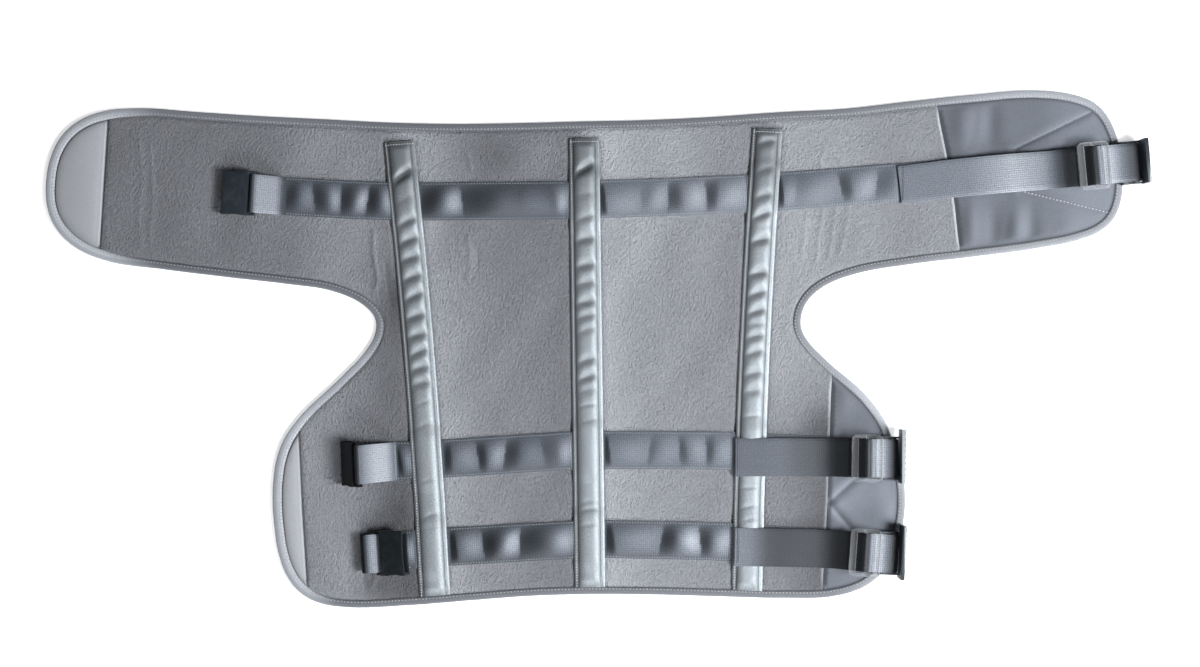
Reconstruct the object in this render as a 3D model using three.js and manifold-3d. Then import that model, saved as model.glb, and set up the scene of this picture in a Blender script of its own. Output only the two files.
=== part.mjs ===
import * as THREE from "three";
import { mergeVertices } from "three/addons/utils/BufferGeometryUtils.js";
import loadManifold from "manifold-3d";

const wasm = await loadManifold();
wasm.setup();

// Hip brace laid flat: millimetres, waist band towards +Y, underside at z = 0
const panelThick = 5;
const padThick = 4;
const tabThick = 1.4;
const tapeThick = 1;
const tapeCover = 7;
const tapeRound = 1.4;
const seamGap = 0.3;
const middleX = -5;
const padRise = 2;

const strapWide = 38;
const strapThick = 1.6;
const strapFlat = 11;
const puffRise = 1.7;
const puffSteps = 4;
const loopStep = 24;

const stayWide = 30.6;
const stayFlange = 4;
const stayCrown = 8;
const stayEdge = 0.9;
const stayTall = 4.2;
const stayBow = 3.2;
const puckerPitch = 19.5;
const puckerDeep = 1;
const puckerSlant = 0.45;
const puckerStart = 20;
const liftClear = strapWide / 2 + 3;
const liftRamp = 5;

const barRadius = 2;
const socketLong = 26;
const socketWide = 44;
const socketThick = 11;
const socketBack = 5.2;
const socketWall = 2;
const mouthCurve = 220;
const mouthDip = 1;
const gripCurve = 30;
const gripDip = 1;

const hookBarRadius = 4;
const hookBarZ = 11.2;
const lipOffset = 8.5;
const lipThick = 4;
const lipTop = 28;
const prongReach = 40;
const railThick = 1.8;

const sliderLong = 31;
const sliderWide = 47;
const sliderRail = 3.4;
const sliderBar = 6.5;
const sliderRound = 6;
const sliderThick = 3.4;
const archRise = 4.2;
const dipAway = 11;
const dipReach = 8.5;
const humpReach = 0.2;

const panelTop = panelThick + seamGap;
const strapZ = panelTop + strapThick / 2;
const upperZ = 2 * hookBarZ - strapZ;
const rad = THREE.MathUtils.degToRad;

const outlineRows = [
  { at: "waist left tip", x: -554, y: 156, heading: -90, back: 58, ahead: 38 },
  { at: "waist left below", x: -477, y: 85, heading: -7.5, back: 48, ahead: 60 },
  { at: "scoop left start", x: -294, y: 63, heading: -6, back: 60, ahead: 38 },
  { at: "scoop left inmost", x: -224.5, y: 24, heading: -90, back: 19, ahead: 19 },
  { at: "thigh left slope", x: -264, y: -32, heading: -136, back: 26, ahead: 50 },
  { at: "thigh left side", x: -326.5, y: -143, heading: -90, back: 58, ahead: 78 },
  { at: "thigh left foot", x: -249, y: -258.5, heading: 0, back: 62, ahead: 90 },
  { at: "bottom middle", x: 1, y: -245.5, heading: 0, back: 110, ahead: 90 },
  { at: "bottom right", x: 206, y: -249.5, heading: 0, back: 70, ahead: 66 },
  { at: "thigh right side", x: 304, y: -151, heading: 90, back: 74, ahead: 52 },
  { at: "thigh right slope", x: 257, y: -37.5, heading: 135.5, back: 42, ahead: 34 },
  { at: "scoop right inmost", x: 202, y: 26, heading: 90, back: 20, ahead: 28 },
  { at: "scoop right end", x: 263, y: 76.5, heading: 12, back: 34, ahead: 60 },
  { at: "waist right below", x: 446, y: 103.5, heading: 9, back: 60, ahead: 48 },
  { at: "waist right tip", x: 524.5, y: 171, heading: 90, back: 50, ahead: 56 },
  { at: "waist right top", x: 436, y: 259, heading: 180, back: 64, ahead: 40 },
  { at: "top middle", x: -149, y: 225.5, heading: 180, back: 230, ahead: 110 },
  { at: "waist left top", x: -464, y: 241.5, heading: 180, back: 70, ahead: 60 },
];

const seams = {
  waistPad: [{ x: 333, y: 268 }, { x: 349, y: 190 }, { x: 356, y: 145 }, { x: 363, y: 78 }],
  thighPad: [{ x: 234, y: 10 }, { x: 229, y: -153 }, { x: 222, y: -268 }],
  waistTab: [{ x: -490, y: 250 }, { x: -501, y: 74 }],
  thighTab: [{ x: -302, y: -50 }, { x: -297, y: -160 }, { x: -290, y: -270 }],
};

const stayRows = [
  { name: "stay_channel_left", top: { x: -200, y: 207.5 }, foot: { x: -164, y: -246.6 }, bow: 1 },
  { name: "stay_channel_middle", top: { x: -15, y: 210.5 }, foot: { x: -9, y: -238 }, bow: 0 },
  { name: "stay_channel_right", top: { x: 168.5, y: 220 }, foot: { x: 148, y: -241.2 }, bow: -1 },
];

// Each strap: its sewn lane and free tail seen from above, the loop at its left end and its gathers
const strapRows = [
  {
    name: "waist_strap",
    sewn: [
      { x: -377, y: 157 }, { x: -318, y: 153 }, { x: -210, y: 147.7 }, { x: -104, y: 148 },
      { x: -14, y: 149.2 }, { x: 149, y: 155.4 }, { x: 299, y: 166.5 }, { x: 491, y: 182 },
      { x: 535, y: 186 },
    ],
    tail: [
      { x: 300, y: 163.5 }, { x: 364, y: 171 }, { x: 455, y: 178.8 }, { x: 491, y: 182 }, { x: 535, y: 186 },
    ],
    loop: [
      { x: -318, z: 8.7, r: 0 },
      { x: -343, z: 16.5, r: 3.1, from: 66, to: 255 },
      { x: -316, z: 6.1, r: 0 },
    ],
    bays: [
      { from: -312, to: -214, puffs: 4 },
      { from: -177, to: -31, puffs: 4 },
      { from: 3, to: 147, puffs: 4 },
      { from: 181, to: 297, puffs: 3 },
    ],
    hookX: 533, sliderX: 491, tailZ: 9.2, tailDip: 4.2, tailHump: 3, humpAt: 0.46, lipFrom: -22, lipTo: 22,
  },
  {
    name: "thigh_strap_upper",
    sewn: [
      { x: -258, y: -114 }, { x: -205, y: -112 }, { x: -156, y: -109.6 }, { x: -26, y: -101.5 },
      { x: 6, y: -101 }, { x: 136, y: -102.2 }, { x: 266, y: -108.3 }, { x: 294, y: -108.6 },
    ],
    tail: [{ x: 136, y: -107.8 }, { x: 231, y: -107.8 }, { x: 266, y: -108.3 }, { x: 294, y: -108.6 }],
    loop: [
      { x: -205, z: 10.2, r: 0 },
      { x: -236, z: 34.8, r: 3.1, from: 47, to: 233 },
      { x: -203, z: 6.1, r: 0 },
    ],
    bays: [
      { from: -201, to: -188, puffs: 1 },
      { from: -152, to: -27, puffs: 4 },
      { from: 7, to: 134, puffs: 4 },
    ],
    hookX: 292, sliderX: 266, tailZ: 13.6, tailDip: 2.4, tailHump: 0.6, humpAt: 0.6, lipFrom: -24, lipTo: 29,
  },
  {
    name: "thigh_strap_lower",
    sewn: [
      { x: -238, y: -203.7 }, { x: -193, y: -201 }, { x: -150, y: -197.6 }, { x: -23.5, y: -190.5 },
      { x: 6, y: -190 }, { x: 132, y: -193 }, { x: 264, y: -201.8 }, { x: 294, y: -203.4 },
    ],
    tail: [{ x: 135, y: -197 }, { x: 231, y: -199 }, { x: 264, y: -201.8 }, { x: 294, y: -203.4 }],
    loop: [
      { x: -229, z: 10.6, r: 0 },
      { x: -219.3, z: 14, r: 3.1, from: -95, to: 95 },
      { x: -229.5, z: 12.8, r: 6.7, from: 100, to: 270 },
    ],
    bays: [
      { from: -214, to: -185, puffs: 1 },
      { from: -148, to: -25, puffs: 3 },
      { from: 8, to: 132, puffs: 3 },
    ],
    hookX: 292, sliderX: 264, tailZ: 13.6, tailDip: 2.4, tailHump: 0.6, humpAt: 0.6, lipFrom: -24, lipTo: 29,
  },
];

// Socket halves hang in the loops: tilt is the mouth's drop, flipped ones face back over the strap
const socketRows = [
  { name: "waist_socket", strap: 0, x: -343, z: 16.5, tilt: 10, flipped: false },
  { name: "thigh_socket_upper", strap: 1, x: -236, z: 34.8, tilt: 58, flipped: false },
  { name: "thigh_socket_lower", strap: 2, x: -219.3, z: 14, tilt: -24, flipped: true },
];
const prongNames = ["waist_prong", "thigh_prong_upper", "thigh_prong_lower"];
const sliderNames = ["waist_slider", "thigh_slider_upper", "thigh_slider_lower"];

function cloth(name, color, roughness) {
  return new THREE.MeshStandardMaterial({ name, color, roughness, metalness: 0 });
}

const finish = {
  velour: () => cloth("velour", 0x8c8d92, 0.95),
  smooth: () => cloth("smooth_cloth", 0x74777f, 0.85),
  pale: () => cloth("pale_cloth", 0xb4b5b8, 0.85),
  tape: () => cloth("binding_tape", 0x9fa1a6, 0.6),
  satin: () => cloth("satin", 0xa9acb1, 0.5),
  webbing: () => cloth("webbing", 0x6d727a, 0.8),
  dark: () => cloth("dark_plastic", 0x2b3238, 0.4),
  clear: () => cloth("clear_plastic", 0xc9ced2, 0.25),
};

const brace = new THREE.Group();
brace.name = "hip_brace";

function addPiece(name, geometry, material) {
  geometry.translate(-middleX, 0, 0);
  const mesh = new THREE.Mesh(geometry, material);
  mesh.name = name;
  brace.add(mesh);
}

function solidOf(geometry) {
  const plain = geometry.clone();
  plain.deleteAttribute("normal");
  plain.deleteAttribute("uv");
  const merged = mergeVertices(plain, 1e-4);
  return new wasm.Manifold(new wasm.Mesh({
    numProp: 3,
    vertProperties: new Float32Array(merged.attributes.position.array),
    triVerts: new Uint32Array(merged.index.array),
  }));
}

function geometryOf(solid) {
  const mesh = solid.getMesh();
  const geometry = new THREE.BufferGeometry();
  geometry.setAttribute("position", new THREE.BufferAttribute(new Float32Array(mesh.vertProperties), 3));
  geometry.setIndex(new THREE.BufferAttribute(new Uint32Array(mesh.triVerts), 1));
  geometry.computeVertexNormals();
  return geometry;
}

function block(x0, x1, y0, y1, z0, z1) {
  const geometry = new THREE.BoxGeometry(x1 - x0, y1 - y0, z1 - z0);
  geometry.translate((x0 + x1) / 2, (y0 + y1) / 2, (z0 + z1) / 2);
  return solidOf(geometry);
}

function crossBar(radius, halfLong, x, z, sides) {
  const geometry = new THREE.CylinderGeometry(radius, radius, 2 * halfLong, sides);
  geometry.translate(x, 0, z);
  return solidOf(geometry);
}

function post(radius, x, y, z0, z1, sides) {
  const geometry = new THREE.CylinderGeometry(radius, radius, z1 - z0, sides);
  geometry.rotateX(Math.PI / 2);
  geometry.translate(x, y, (z0 + z1) / 2);
  return solidOf(geometry);
}

function prism(corners, z0, z1) {
  const shape = new THREE.Shape(corners.map((corner) => new THREE.Vector2(corner.x, corner.y)));
  const geometry = new THREE.ExtrudeGeometry(shape, { depth: z1 - z0, bevelEnabled: false });
  geometry.translate(0, 0, z0);
  return solidOf(geometry);
}

// A closed skin over rings of equal length, with both end rings capped
function skin(rings, capFaces) {
  const count = rings[0].length;
  const positions = rings.flatMap((ring) => ring.flatMap((point) => [point.x, point.y, point.z]));
  const index = [];
  for (let i = 0; i + 1 < rings.length; i += 1) {
    for (let j = 0; j < count; j += 1) {
      const k = (j + 1) % count;
      const a = i * count + j;
      const b = i * count + k;
      const c = b + count;
      const d = a + count;
      index.push(a, b, c, a, c, d);
    }
  }
  const last = (rings.length - 1) * count;
  for (const [a, b, c] of capFaces) {
    index.push(a, c, b, last + a, last + b, last + c);
  }
  const geometry = new THREE.BufferGeometry();
  geometry.setAttribute("position", new THREE.Float32BufferAttribute(positions, 3));
  geometry.setIndex(index);
  geometry.computeVertexNormals();
  return geometry;
}

function fanFaces(count) {
  return Array.from({ length: count - 2 }, (unused, i) => [0, i + 1, i + 2]);
}

// Outline: cubic curves through the anchors, thinned to where the heading turns
function traceOutline() {
  const fine = [];
  outlineRows.forEach((row, i) => {
    const next = outlineRows[(i + 1) % outlineRows.length];
    const start = new THREE.Vector2(row.x, row.y);
    const end = new THREE.Vector2(next.x, next.y);
    const leave = new THREE.Vector2(Math.cos(rad(row.heading)), Math.sin(rad(row.heading)));
    const arrive = new THREE.Vector2(Math.cos(rad(next.heading)), Math.sin(rad(next.heading)));
    const curve = new THREE.CubicBezierCurve(
      start,
      start.clone().addScaledVector(leave, row.ahead),
      end.clone().addScaledVector(arrive, -next.back),
      end,
    );
    for (let k = 0; k < 60; k += 1) {
      const point = curve.getPoint(k / 60);
      const way = curve.getTangent(k / 60);
      fine.push({ x: point.x, y: point.y, nx: -way.y, ny: way.x, angle: Math.atan2(way.y, way.x) });
    }
  });
  const kept = [fine[0]];
  for (const point of fine) {
    const from = kept[kept.length - 1];
    const turn = Math.abs(Math.atan2(Math.sin(point.angle - from.angle), Math.cos(point.angle - from.angle)));
    if (turn > rad(8.5) || Math.hypot(point.x - from.x, point.y - from.y) > 60) {
      kept.push(point);
    }
  }
  return kept;
}

const outline = traceOutline();

function insetRing(depth, z) {
  return outline.map((p) => new THREE.Vector3(p.x + p.nx * depth, p.y + p.ny * depth, z));
}

function outlineFaces(ring) {
  return THREE.ShapeUtils.triangulateShape(ring.map((p) => new THREE.Vector2(p.x, p.y)), []);
}

// Padded layer whose rim is pinched to lie inside the folded tape
function paddedLayer(thick) {
  const low = tapeThick + seamGap;
  const high = panelThick - tapeThick - seamGap;
  const rim = tapeCover + seamGap;
  const rings = [
    insetRing(rim + padRise, 0),
    insetRing(rim, low),
    insetRing(low, low),
    insetRing(low, high),
    insetRing(rim, high),
    insetRing(rim + padRise, thick),
  ];
  return solidOf(skin(rings, outlineFaces(rings[0])));
}

function sideOf(seam, farX, shift) {
  const edge = seam.map((p) => ({ x: p.x + shift, y: p.y }));
  const last = edge[edge.length - 1];
  return prism([...edge, { x: farX, y: last.y }, { x: farX, y: edge[0].y }], -1, panelThick + 9);
}

const fullPanel = paddedLayer(panelThick);
const fullPad = paddedLayer(padThick);
const beyondPads = sideOf(seams.waistPad, 640, 0).add(sideOf(seams.thighPad, 420, 0));
addPiece("panel", geometryOf(fullPanel.subtract(beyondPads)), finish.velour());
addPiece("waist_pad", geometryOf(fullPad.intersect(sideOf(seams.waistPad, 640, seamGap))), finish.smooth());
addPiece("thigh_pad", geometryOf(fullPad.intersect(sideOf(seams.thighPad, 420, seamGap))), finish.smooth());

const tabRim = tapeCover + padRise + 2 * seamGap;
const tabRings = [insetRing(tabRim, panelTop), insetRing(tabRim, panelTop + tabThick)];
const fullTab = solidOf(skin(tabRings, outlineFaces(tabRings[0])));
addPiece("waist_tab", geometryOf(fullTab.intersect(sideOf(seams.waistTab, -640, 0))), finish.pale());
addPiece("thigh_tab", geometryOf(fullTab.intersect(sideOf(seams.thighTab, -420, 0))), finish.pale());

// Folded tape: an open loop in section, swept round the outline
function foldedTape() {
  const section = [
    { depth: tapeCover, z: 0 },
    { depth: tapeRound, z: 0 },
    { depth: 0, z: tapeRound },
    { depth: 0, z: panelThick - tapeRound },
    { depth: tapeRound, z: panelThick },
    { depth: tapeCover, z: panelThick },
    { depth: tapeCover, z: panelThick - tapeThick },
    { depth: tapeThick, z: panelThick - tapeThick },
    { depth: tapeThick, z: tapeThick },
    { depth: tapeCover, z: tapeThick },
  ];
  const count = outline.length;
  const positions = [];
  const index = [];
  section.forEach((corner) => {
    insetRing(corner.depth, corner.z).forEach((p) => positions.push(p.x, p.y, p.z));
  });
  section.forEach((corner, i) => {
    const above = (i + 1) % section.length;
    for (let j = 0; j < count; j += 1) {
      const k = (j + 1) % count;
      const a = i * count + j;
      const b = i * count + k;
      const c = above * count + k;
      const d = above * count + j;
      index.push(a, b, c, a, c, d);
    }
  });
  const geometry = new THREE.BufferGeometry();
  geometry.setAttribute("position", new THREE.Float32BufferAttribute(positions, 3));
  geometry.setIndex(index);
  geometry.computeVertexNormals();
  return geometry;
}

addPiece("edge_binding", foldedTape(), finish.tape());

// A lane seen from above: height y and slope at any x, eased between its rows
function laneThrough(rows) {
  const slopes = rows.map((row, i) => {
    const before = rows[Math.max(i - 1, 0)];
    const after = rows[Math.min(i + 1, rows.length - 1)];
    return (after.y - before.y) / (after.x - before.x);
  });
  const end = rows.length - 1;
  return (x) => {
    if (x <= rows[0].x) {
      return { y: rows[0].y + slopes[0] * (x - rows[0].x), slope: slopes[0] };
    }
    if (x >= rows[end].x) {
      return { y: rows[end].y + slopes[end] * (x - rows[end].x), slope: slopes[end] };
    }
    const k = rows.findIndex((row) => row.x > x);
    const a = rows[k - 1];
    const b = rows[k];
    const span = b.x - a.x;
    const t = (x - a.x) / span;
    const bend = [slopes[k - 1] * span - (b.y - a.y), (b.y - a.y) - slopes[k] * span];
    const y = a.y + t * (b.y - a.y) + t * (1 - t) * ((1 - t) * bend[0] + t * bend[1]);
    const slope = slopes[k - 1] + t * (slopes[k] - slopes[k - 1]);
    return { y, slope };
  };
}

const sewnLanes = strapRows.map((row) => laneThrough(row.sewn));
const tailLanes = strapRows.map((row) => laneThrough(row.tail));

function arcStations(row, lane) {
  if (row.r === 0) {
    return [{ x: row.x, z: row.z, lane, rise: 0 }];
  }
  const steps = Math.ceil(Math.abs(row.to - row.from) / loopStep);
  return Array.from({ length: steps + 1 }, (unused, i) => {
    const angle = rad(row.from + ((row.to - row.from) * i) / steps);
    return { x: row.x + row.r * Math.cos(angle), z: row.z + row.r * Math.sin(angle), lane, rise: 0 };
  });
}

function bayStations(bay, lane) {
  const steps = bay.puffs * puffSteps;
  return Array.from({ length: steps + 1 }, (unused, i) => {
    const t = i / steps;
    const rise = puffRise * Math.sin(Math.PI * bay.puffs * t) ** 2;
    return { x: bay.from + (bay.to - bay.from) * t, z: strapZ, lane, rise };
  });
}

const tailMarks = [0, 0.04, 0.08, 0.13, 0.2, 0.3, 0.42, 0.55, 0.7, 0.85, 1];

// Side view of a strap from its left end, over the panel, round the hook bar and back to its tail
function strapStations(row, sewn, tail) {
  const slack = { x: row.hookX, z: hookBarZ, r: hookBarZ - strapZ, from: -90, to: 90 };
  const turn = arcStations(slack, sewn);
  turn.forEach((station, i) => {
    station.lane = i * 2 > turn.length ? tail : sewn;
  });
  const reach = row.sliderX - sliderLong / 2 - 1;
  const tailX = row.tail[0].x;
  const arch = Array.from({ length: 7 }, (unused, i) => {
    const t = i / 6;
    const x = row.sliderX + (sliderLong / 2 - sliderBar) * (1 - 2 * t);
    return { x, z: upperZ + (archRise / 2) * (1 - Math.cos(2 * Math.PI * t)), lane: tail, rise: 0 };
  });
  const droop = tailMarks.map((t) => {
    const away = t * (reach - tailX);
    const fall = (row.tailZ - upperZ) * t * t * (3 - 2 * t);
    const dip = row.tailDip * Math.exp(-(((away - dipAway) / dipReach) ** 2)) * Math.min(1, away / 9);
    const hump = row.tailHump * Math.exp(-(((t - row.humpAt) / humpReach) ** 2));
    return { x: reach + (tailX - reach) * t, z: upperZ + fall - dip + hump, lane: tail, rise: 0 };
  });
  return [
    ...row.loop.flatMap((part) => arcStations(part, sewn)),
    ...row.bays.flatMap((bay) => bayStations(bay, sewn)),
    { x: (row.bays[row.bays.length - 1].to + row.hookX) / 2, z: strapZ, lane: sewn, rise: 0 },
    ...turn,
    ...arch,
    ...droop,
  ];
}

function strapSolid(stations) {
  const spots = stations.map((s) => new THREE.Vector3(s.x, s.lane(s.x).y, s.z));
  const half = strapWide / 2;
  const low = -strapThick / 2;
  const high = strapThick / 2;
  const rings = stations.map((station, i) => {
    const before = spots[Math.max(i - 1, 0)];
    const after = spots[Math.min(i + 1, spots.length - 1)];
    const way = after.clone().sub(before).normalize();
    const across = new THREE.Vector3(-station.lane(station.x).slope, 1, 0).normalize();
    const up = way.clone().cross(across).normalize();
    const corners = [
      [-half, low], [half, low], [half, high],
      [strapFlat, high + station.rise], [-strapFlat, high + station.rise], [-half, high],
    ];
    return corners.map(([a, b]) => spots[i].clone().addScaledVector(across, a).addScaledVector(up, b));
  });
  return skin(rings, fanFaces(6));
}

strapRows.forEach((row, i) => {
  const stations = strapStations(row, sewnLanes[i], tailLanes[i]);
  addPiece(row.name, strapSolid(stations), finish.webbing());
});

// How far a channel is lifted at a place to pass over the straps
function liftOver(x, y) {
  const nearest = Math.min(...sewnLanes.map((lane) => Math.abs(y - lane(x).y)));
  return (strapThick + seamGap) * (1 - THREE.MathUtils.smoothstep(nearest, liftClear, liftClear + liftRamp));
}

// Lengths down a channel where it gets a section: at the strap edges, then evenly between
function stayMarks(long, spotAt) {
  const marks = [];
  sewnLanes.forEach((lane) => {
    for (let s = 0; s < long; s += 1) {
      const here = spotAt(s);
      const next = spotAt(s + 1);
      if (here.y > lane(here.x).y && next.y <= lane(next.x).y) {
        for (const reach of [liftClear - 0.5, liftClear + liftRamp]) {
          marks.push(s - reach, s + reach);
        }
      }
    }
  });
  const steps = Math.round((2 * long) / puckerPitch);
  for (let i = 0; i <= steps; i += 1) {
    const s = (long * i) / steps;
    if (marks.every((mark) => Math.abs(mark - s) > 3)) {
      marks.push(s);
    }
  }
  return marks.sort((a, b) => a - b);
}

function staySolid(row) {
  const top = new THREE.Vector2(row.top.x, row.top.y);
  const foot = new THREE.Vector2(row.foot.x, row.foot.y);
  const long = top.distanceTo(foot);
  const along = foot.clone().sub(top).normalize();
  const across = new THREE.Vector2(-along.y, along.x);
  const half = stayWide / 2;
  const spotAt = (s) => {
    const t = s / long;
    const bow = row.bow * stayBow * 4 * t * (1 - t);
    return { x: top.x + along.x * s + bow, y: top.y + along.y * s };
  };
  const profile = [
    { a: -half, h: 0 }, { a: half, h: 0 }, { a: half, h: stayEdge }, { a: half - stayFlange, h: stayEdge },
    { a: stayCrown, h: stayTall }, { a: -stayCrown, h: stayTall },
    { a: stayFlange - half, h: stayEdge }, { a: -half, h: stayEdge },
  ];
  const rings = stayMarks(long, spotAt).map((mark) => {
    const spot = spotAt(mark);
    return profile.map((corner) => {
      const x = spot.x + across.x * corner.a;
      const y = spot.y + across.y * corner.a;
      const s = mark + puckerSlant * corner.a;
      const strength = corner.h === stayTall ? THREE.MathUtils.smoothstep(s, puckerStart / 2, puckerStart) : 0;
      const pucker = strength * puckerDeep * Math.cos((2 * Math.PI * s) / puckerPitch);
      return new THREE.Vector3(x, y, panelTop + liftOver(x, y) + corner.h + pucker);
    });
  });
  return skin(rings, fanFaces(8));
}

stayRows.forEach((row) => addPiece(row.name, staySolid(row), finish.satin()));

// Socket half: rounded block with an open mouth, side windows and a bar for the strap loop
function socketSolid() {
  const wide = socketWide / 2;
  const thick = socketThick / 2;
  const end = socketBack + socketLong;
  const barEnd = strapWide / 2 + 0.6;
  let body = block(socketBack, end, -wide, wide, -thick, thick);
  const inner = thick - socketWall;
  body = body.subtract(block(socketBack + 3, end + 1, 3 - wide, wide - 3, -inner, inner));
  body = body.subtract(post(mouthCurve, end - mouthDip + mouthCurve, 0, -thick - 1, thick + 1, 160));
  for (const side of [-1, 1]) {
    const gripY = side * (wide + gripCurve - gripDip);
    body = body.subtract(post(gripCurve, end / 2 + 5, gripY, -thick - 1, thick + 1, 48));
    body = body.subtract(block(14, 25, side > 0 ? 16 : -wide - 1, side > 0 ? wide + 1 : -16, -2.4, 2.4));
    const [low, high] = side > 0 ? [barEnd, wide] : [-wide, -barEnd];
    body = body.add(block(-barRadius, socketBack + 1, low, high, -2.5, 2.5));
  }
  return body.add(crossBar(barRadius, barEnd + 1, 0, 0, 10));
}

socketRows.forEach((row) => {
  const place = sewnLanes[row.strap](row.x);
  const geometry = geometryOf(socketSolid());
  geometry.rotateY(rad(row.tilt));
  geometry.rotateZ(Math.atan(place.slope) + (row.flipped ? 0 : Math.PI));
  geometry.translate(row.x, place.y, row.z);
  addPiece(row.name, geometry, finish.dark());
});

// Prong half folded under its strap: lip at the end, strap bar, base, two barbed arms and a tongue
function prongSolid(row) {
  const rail = strapWide / 2 + 0.6;
  const edge = rail + railThick;
  const lipX = lipOffset - lipThick / 2;
  const lipEnd = lipOffset + lipThick / 2;
  let body = block(lipX, lipEnd, row.lipFrom, row.lipTo, -3, lipTop - hookBarZ);
  for (let i = -3; i <= 3; i += 1) {
    const y = (row.lipFrom + row.lipTo) / 2 + i * 6;
    body = body.add(block(lipEnd - 0.5, lipEnd + 0.8, y - 1.2, y + 1.2, 2, lipTop - hookBarZ - 2));
  }
  body = body.add(crossBar(hookBarRadius, rail + 1, 0, 0, 12));
  body = body.add(block(-14, -8, -edge, edge, -hookBarRadius, hookBarRadius));
  body = body.add(block(-36, -13, -3, 3, -2, 2));
  for (const side of [-1, 1]) {
    body = body.add(block(-13, lipX + 1, side > 0 ? rail : -edge, side > 0 ? edge : -rail, -3, 3));
    const arm = [
      { x: -13, y: 13 }, { x: -13, y: 17.5 }, { x: -26, y: 17.5 }, { x: -30, y: 19.5 },
      { x: 4 - prongReach, y: 17 }, { x: -prongReach, y: 13 }, { x: -28, y: 13.5 },
    ];
    body = body.add(prism(arm.map((corner) => ({ x: corner.x, y: side * corner.y })), -3, 3));
  }
  return body;
}

// Slider: rounded frame lying on the strap, with a middle bar that the strap arches over
function sliderSolid() {
  const long = sliderLong / 2;
  const wide = sliderWide / 2;
  const round = sliderRound;
  const low = upperZ + strapThick / 2 + seamGap;
  const bar = upperZ + archRise - strapThick / 2 - seamGap - 1.4;
  const shape = new THREE.Shape();
  shape.moveTo(round - long, -wide);
  shape.lineTo(long - round, -wide);
  shape.quadraticCurveTo(long, -wide, long, round - wide);
  shape.lineTo(long, wide - round);
  shape.quadraticCurveTo(long, wide, long - round, wide);
  shape.lineTo(round - long, wide);
  shape.quadraticCurveTo(-long, wide, -long, wide - round);
  shape.lineTo(-long, round - wide);
  shape.quadraticCurveTo(-long, -wide, round - long, -wide);
  const frame = new THREE.ExtrudeGeometry(shape, { depth: sliderThick, bevelEnabled: false, curveSegments: 4 });
  frame.translate(0, 0, low);
  const [open, tall] = [long - sliderBar, wide - sliderRail];
  const window = block(-open, open, -tall, tall, low - 1, low + 9);
  return solidOf(frame).subtract(window).add(crossBar(1.4, wide - 1, 0, bar, 10));
}

strapRows.forEach((row, i) => {
  const hook = tailLanes[i](row.hookX);
  const prong = geometryOf(prongSolid(row));
  prong.rotateZ(Math.atan(hook.slope));
  prong.translate(row.hookX, hook.y, hookBarZ);
  addPiece(prongNames[i], prong, finish.dark());
  const spot = tailLanes[i](row.sliderX);
  const slider = geometryOf(sliderSolid());
  slider.rotateZ(Math.atan(spot.slope));
  slider.translate(row.sliderX, spot.y, 0);
  addPiece(sliderNames[i], slider, finish.clear());
});

export default brace;
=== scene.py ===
import math

import bmesh
import bpy
import numpy as np
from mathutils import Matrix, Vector, geometry, kdtree


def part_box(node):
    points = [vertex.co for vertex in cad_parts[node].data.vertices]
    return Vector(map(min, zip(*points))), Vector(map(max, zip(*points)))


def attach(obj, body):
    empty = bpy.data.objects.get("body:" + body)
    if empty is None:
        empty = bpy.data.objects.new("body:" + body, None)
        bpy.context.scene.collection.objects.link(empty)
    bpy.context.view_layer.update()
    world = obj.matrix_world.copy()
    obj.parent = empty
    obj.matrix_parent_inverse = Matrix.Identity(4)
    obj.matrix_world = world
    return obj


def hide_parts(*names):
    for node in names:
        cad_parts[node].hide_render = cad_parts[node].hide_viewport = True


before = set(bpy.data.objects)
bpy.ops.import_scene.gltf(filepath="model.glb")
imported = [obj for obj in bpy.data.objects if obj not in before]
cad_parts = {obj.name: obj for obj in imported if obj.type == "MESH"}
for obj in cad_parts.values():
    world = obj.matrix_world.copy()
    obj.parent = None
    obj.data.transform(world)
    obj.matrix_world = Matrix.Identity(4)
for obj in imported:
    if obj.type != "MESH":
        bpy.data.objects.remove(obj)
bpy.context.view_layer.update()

mm = 0.001
weld = 1e-6  # vertices closer than this, in metres, are one
planShift = 5.0  # plan tables below are in mm, 5 mm left of the frame, as in the part's source
scene = bpy.context.scene


# small helpers

def smoothstep(low, high, value):
    t = np.clip((np.asarray(value, float) - low) / (high - low), 0.0, 1.0)
    return t * t * (3.0 - 2.0 * t)


def bump(value, middle, wide):
    return np.exp(-((value - middle) / wide) ** 2)


def linear(red, green, blue):
    def channel(value):
        value /= 255.0
        return value / 12.92 if value <= 0.04045 else ((value + 0.055) / 1.055) ** 2.4
    return (channel(red), channel(green), channel(blue), 1.0)


def addNode(tree, kind, inputs=None, **settings):
    made = tree.nodes.new(kind)
    for key, value in settings.items():
        setattr(made, key, value)
    for key, value in (inputs or {}).items():
        if isinstance(value, bpy.types.NodeSocket):
            tree.links.new(value, made.inputs[key])
        else:
            made.inputs[key].default_value = value
    return made


def sums(tree, kind, first, second=0.0, third=None):
    values = {0: first, 1: second}
    if third is not None:
        values[2] = third
    return addNode(tree, "ShaderNodeMath", values, operation=kind).outputs[0]


def between(tree, factor, low, high, start=0.0, stop=1.0):
    made = addNode(tree, "ShaderNodeMapRange", {"Value": factor, "From Min": start, "From Max": stop,
                                                "To Min": low, "To Max": high})
    return made.outputs[0]


def noiseOf(tree, spot, scale, detail, more=None):
    values = {"Vector": spot, "Scale": scale, "Detail": detail, **(more or {})}
    return addNode(tree, "ShaderNodeTexNoise", values).outputs["Fac"]


def blendColours(tree, factor, first, second, kind="MIX"):
    made = addNode(tree, "ShaderNodeMix", {0: factor, 6: first, 7: second}, data_type="RGBA", blend_type=kind)
    return made.outputs[2]


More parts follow.
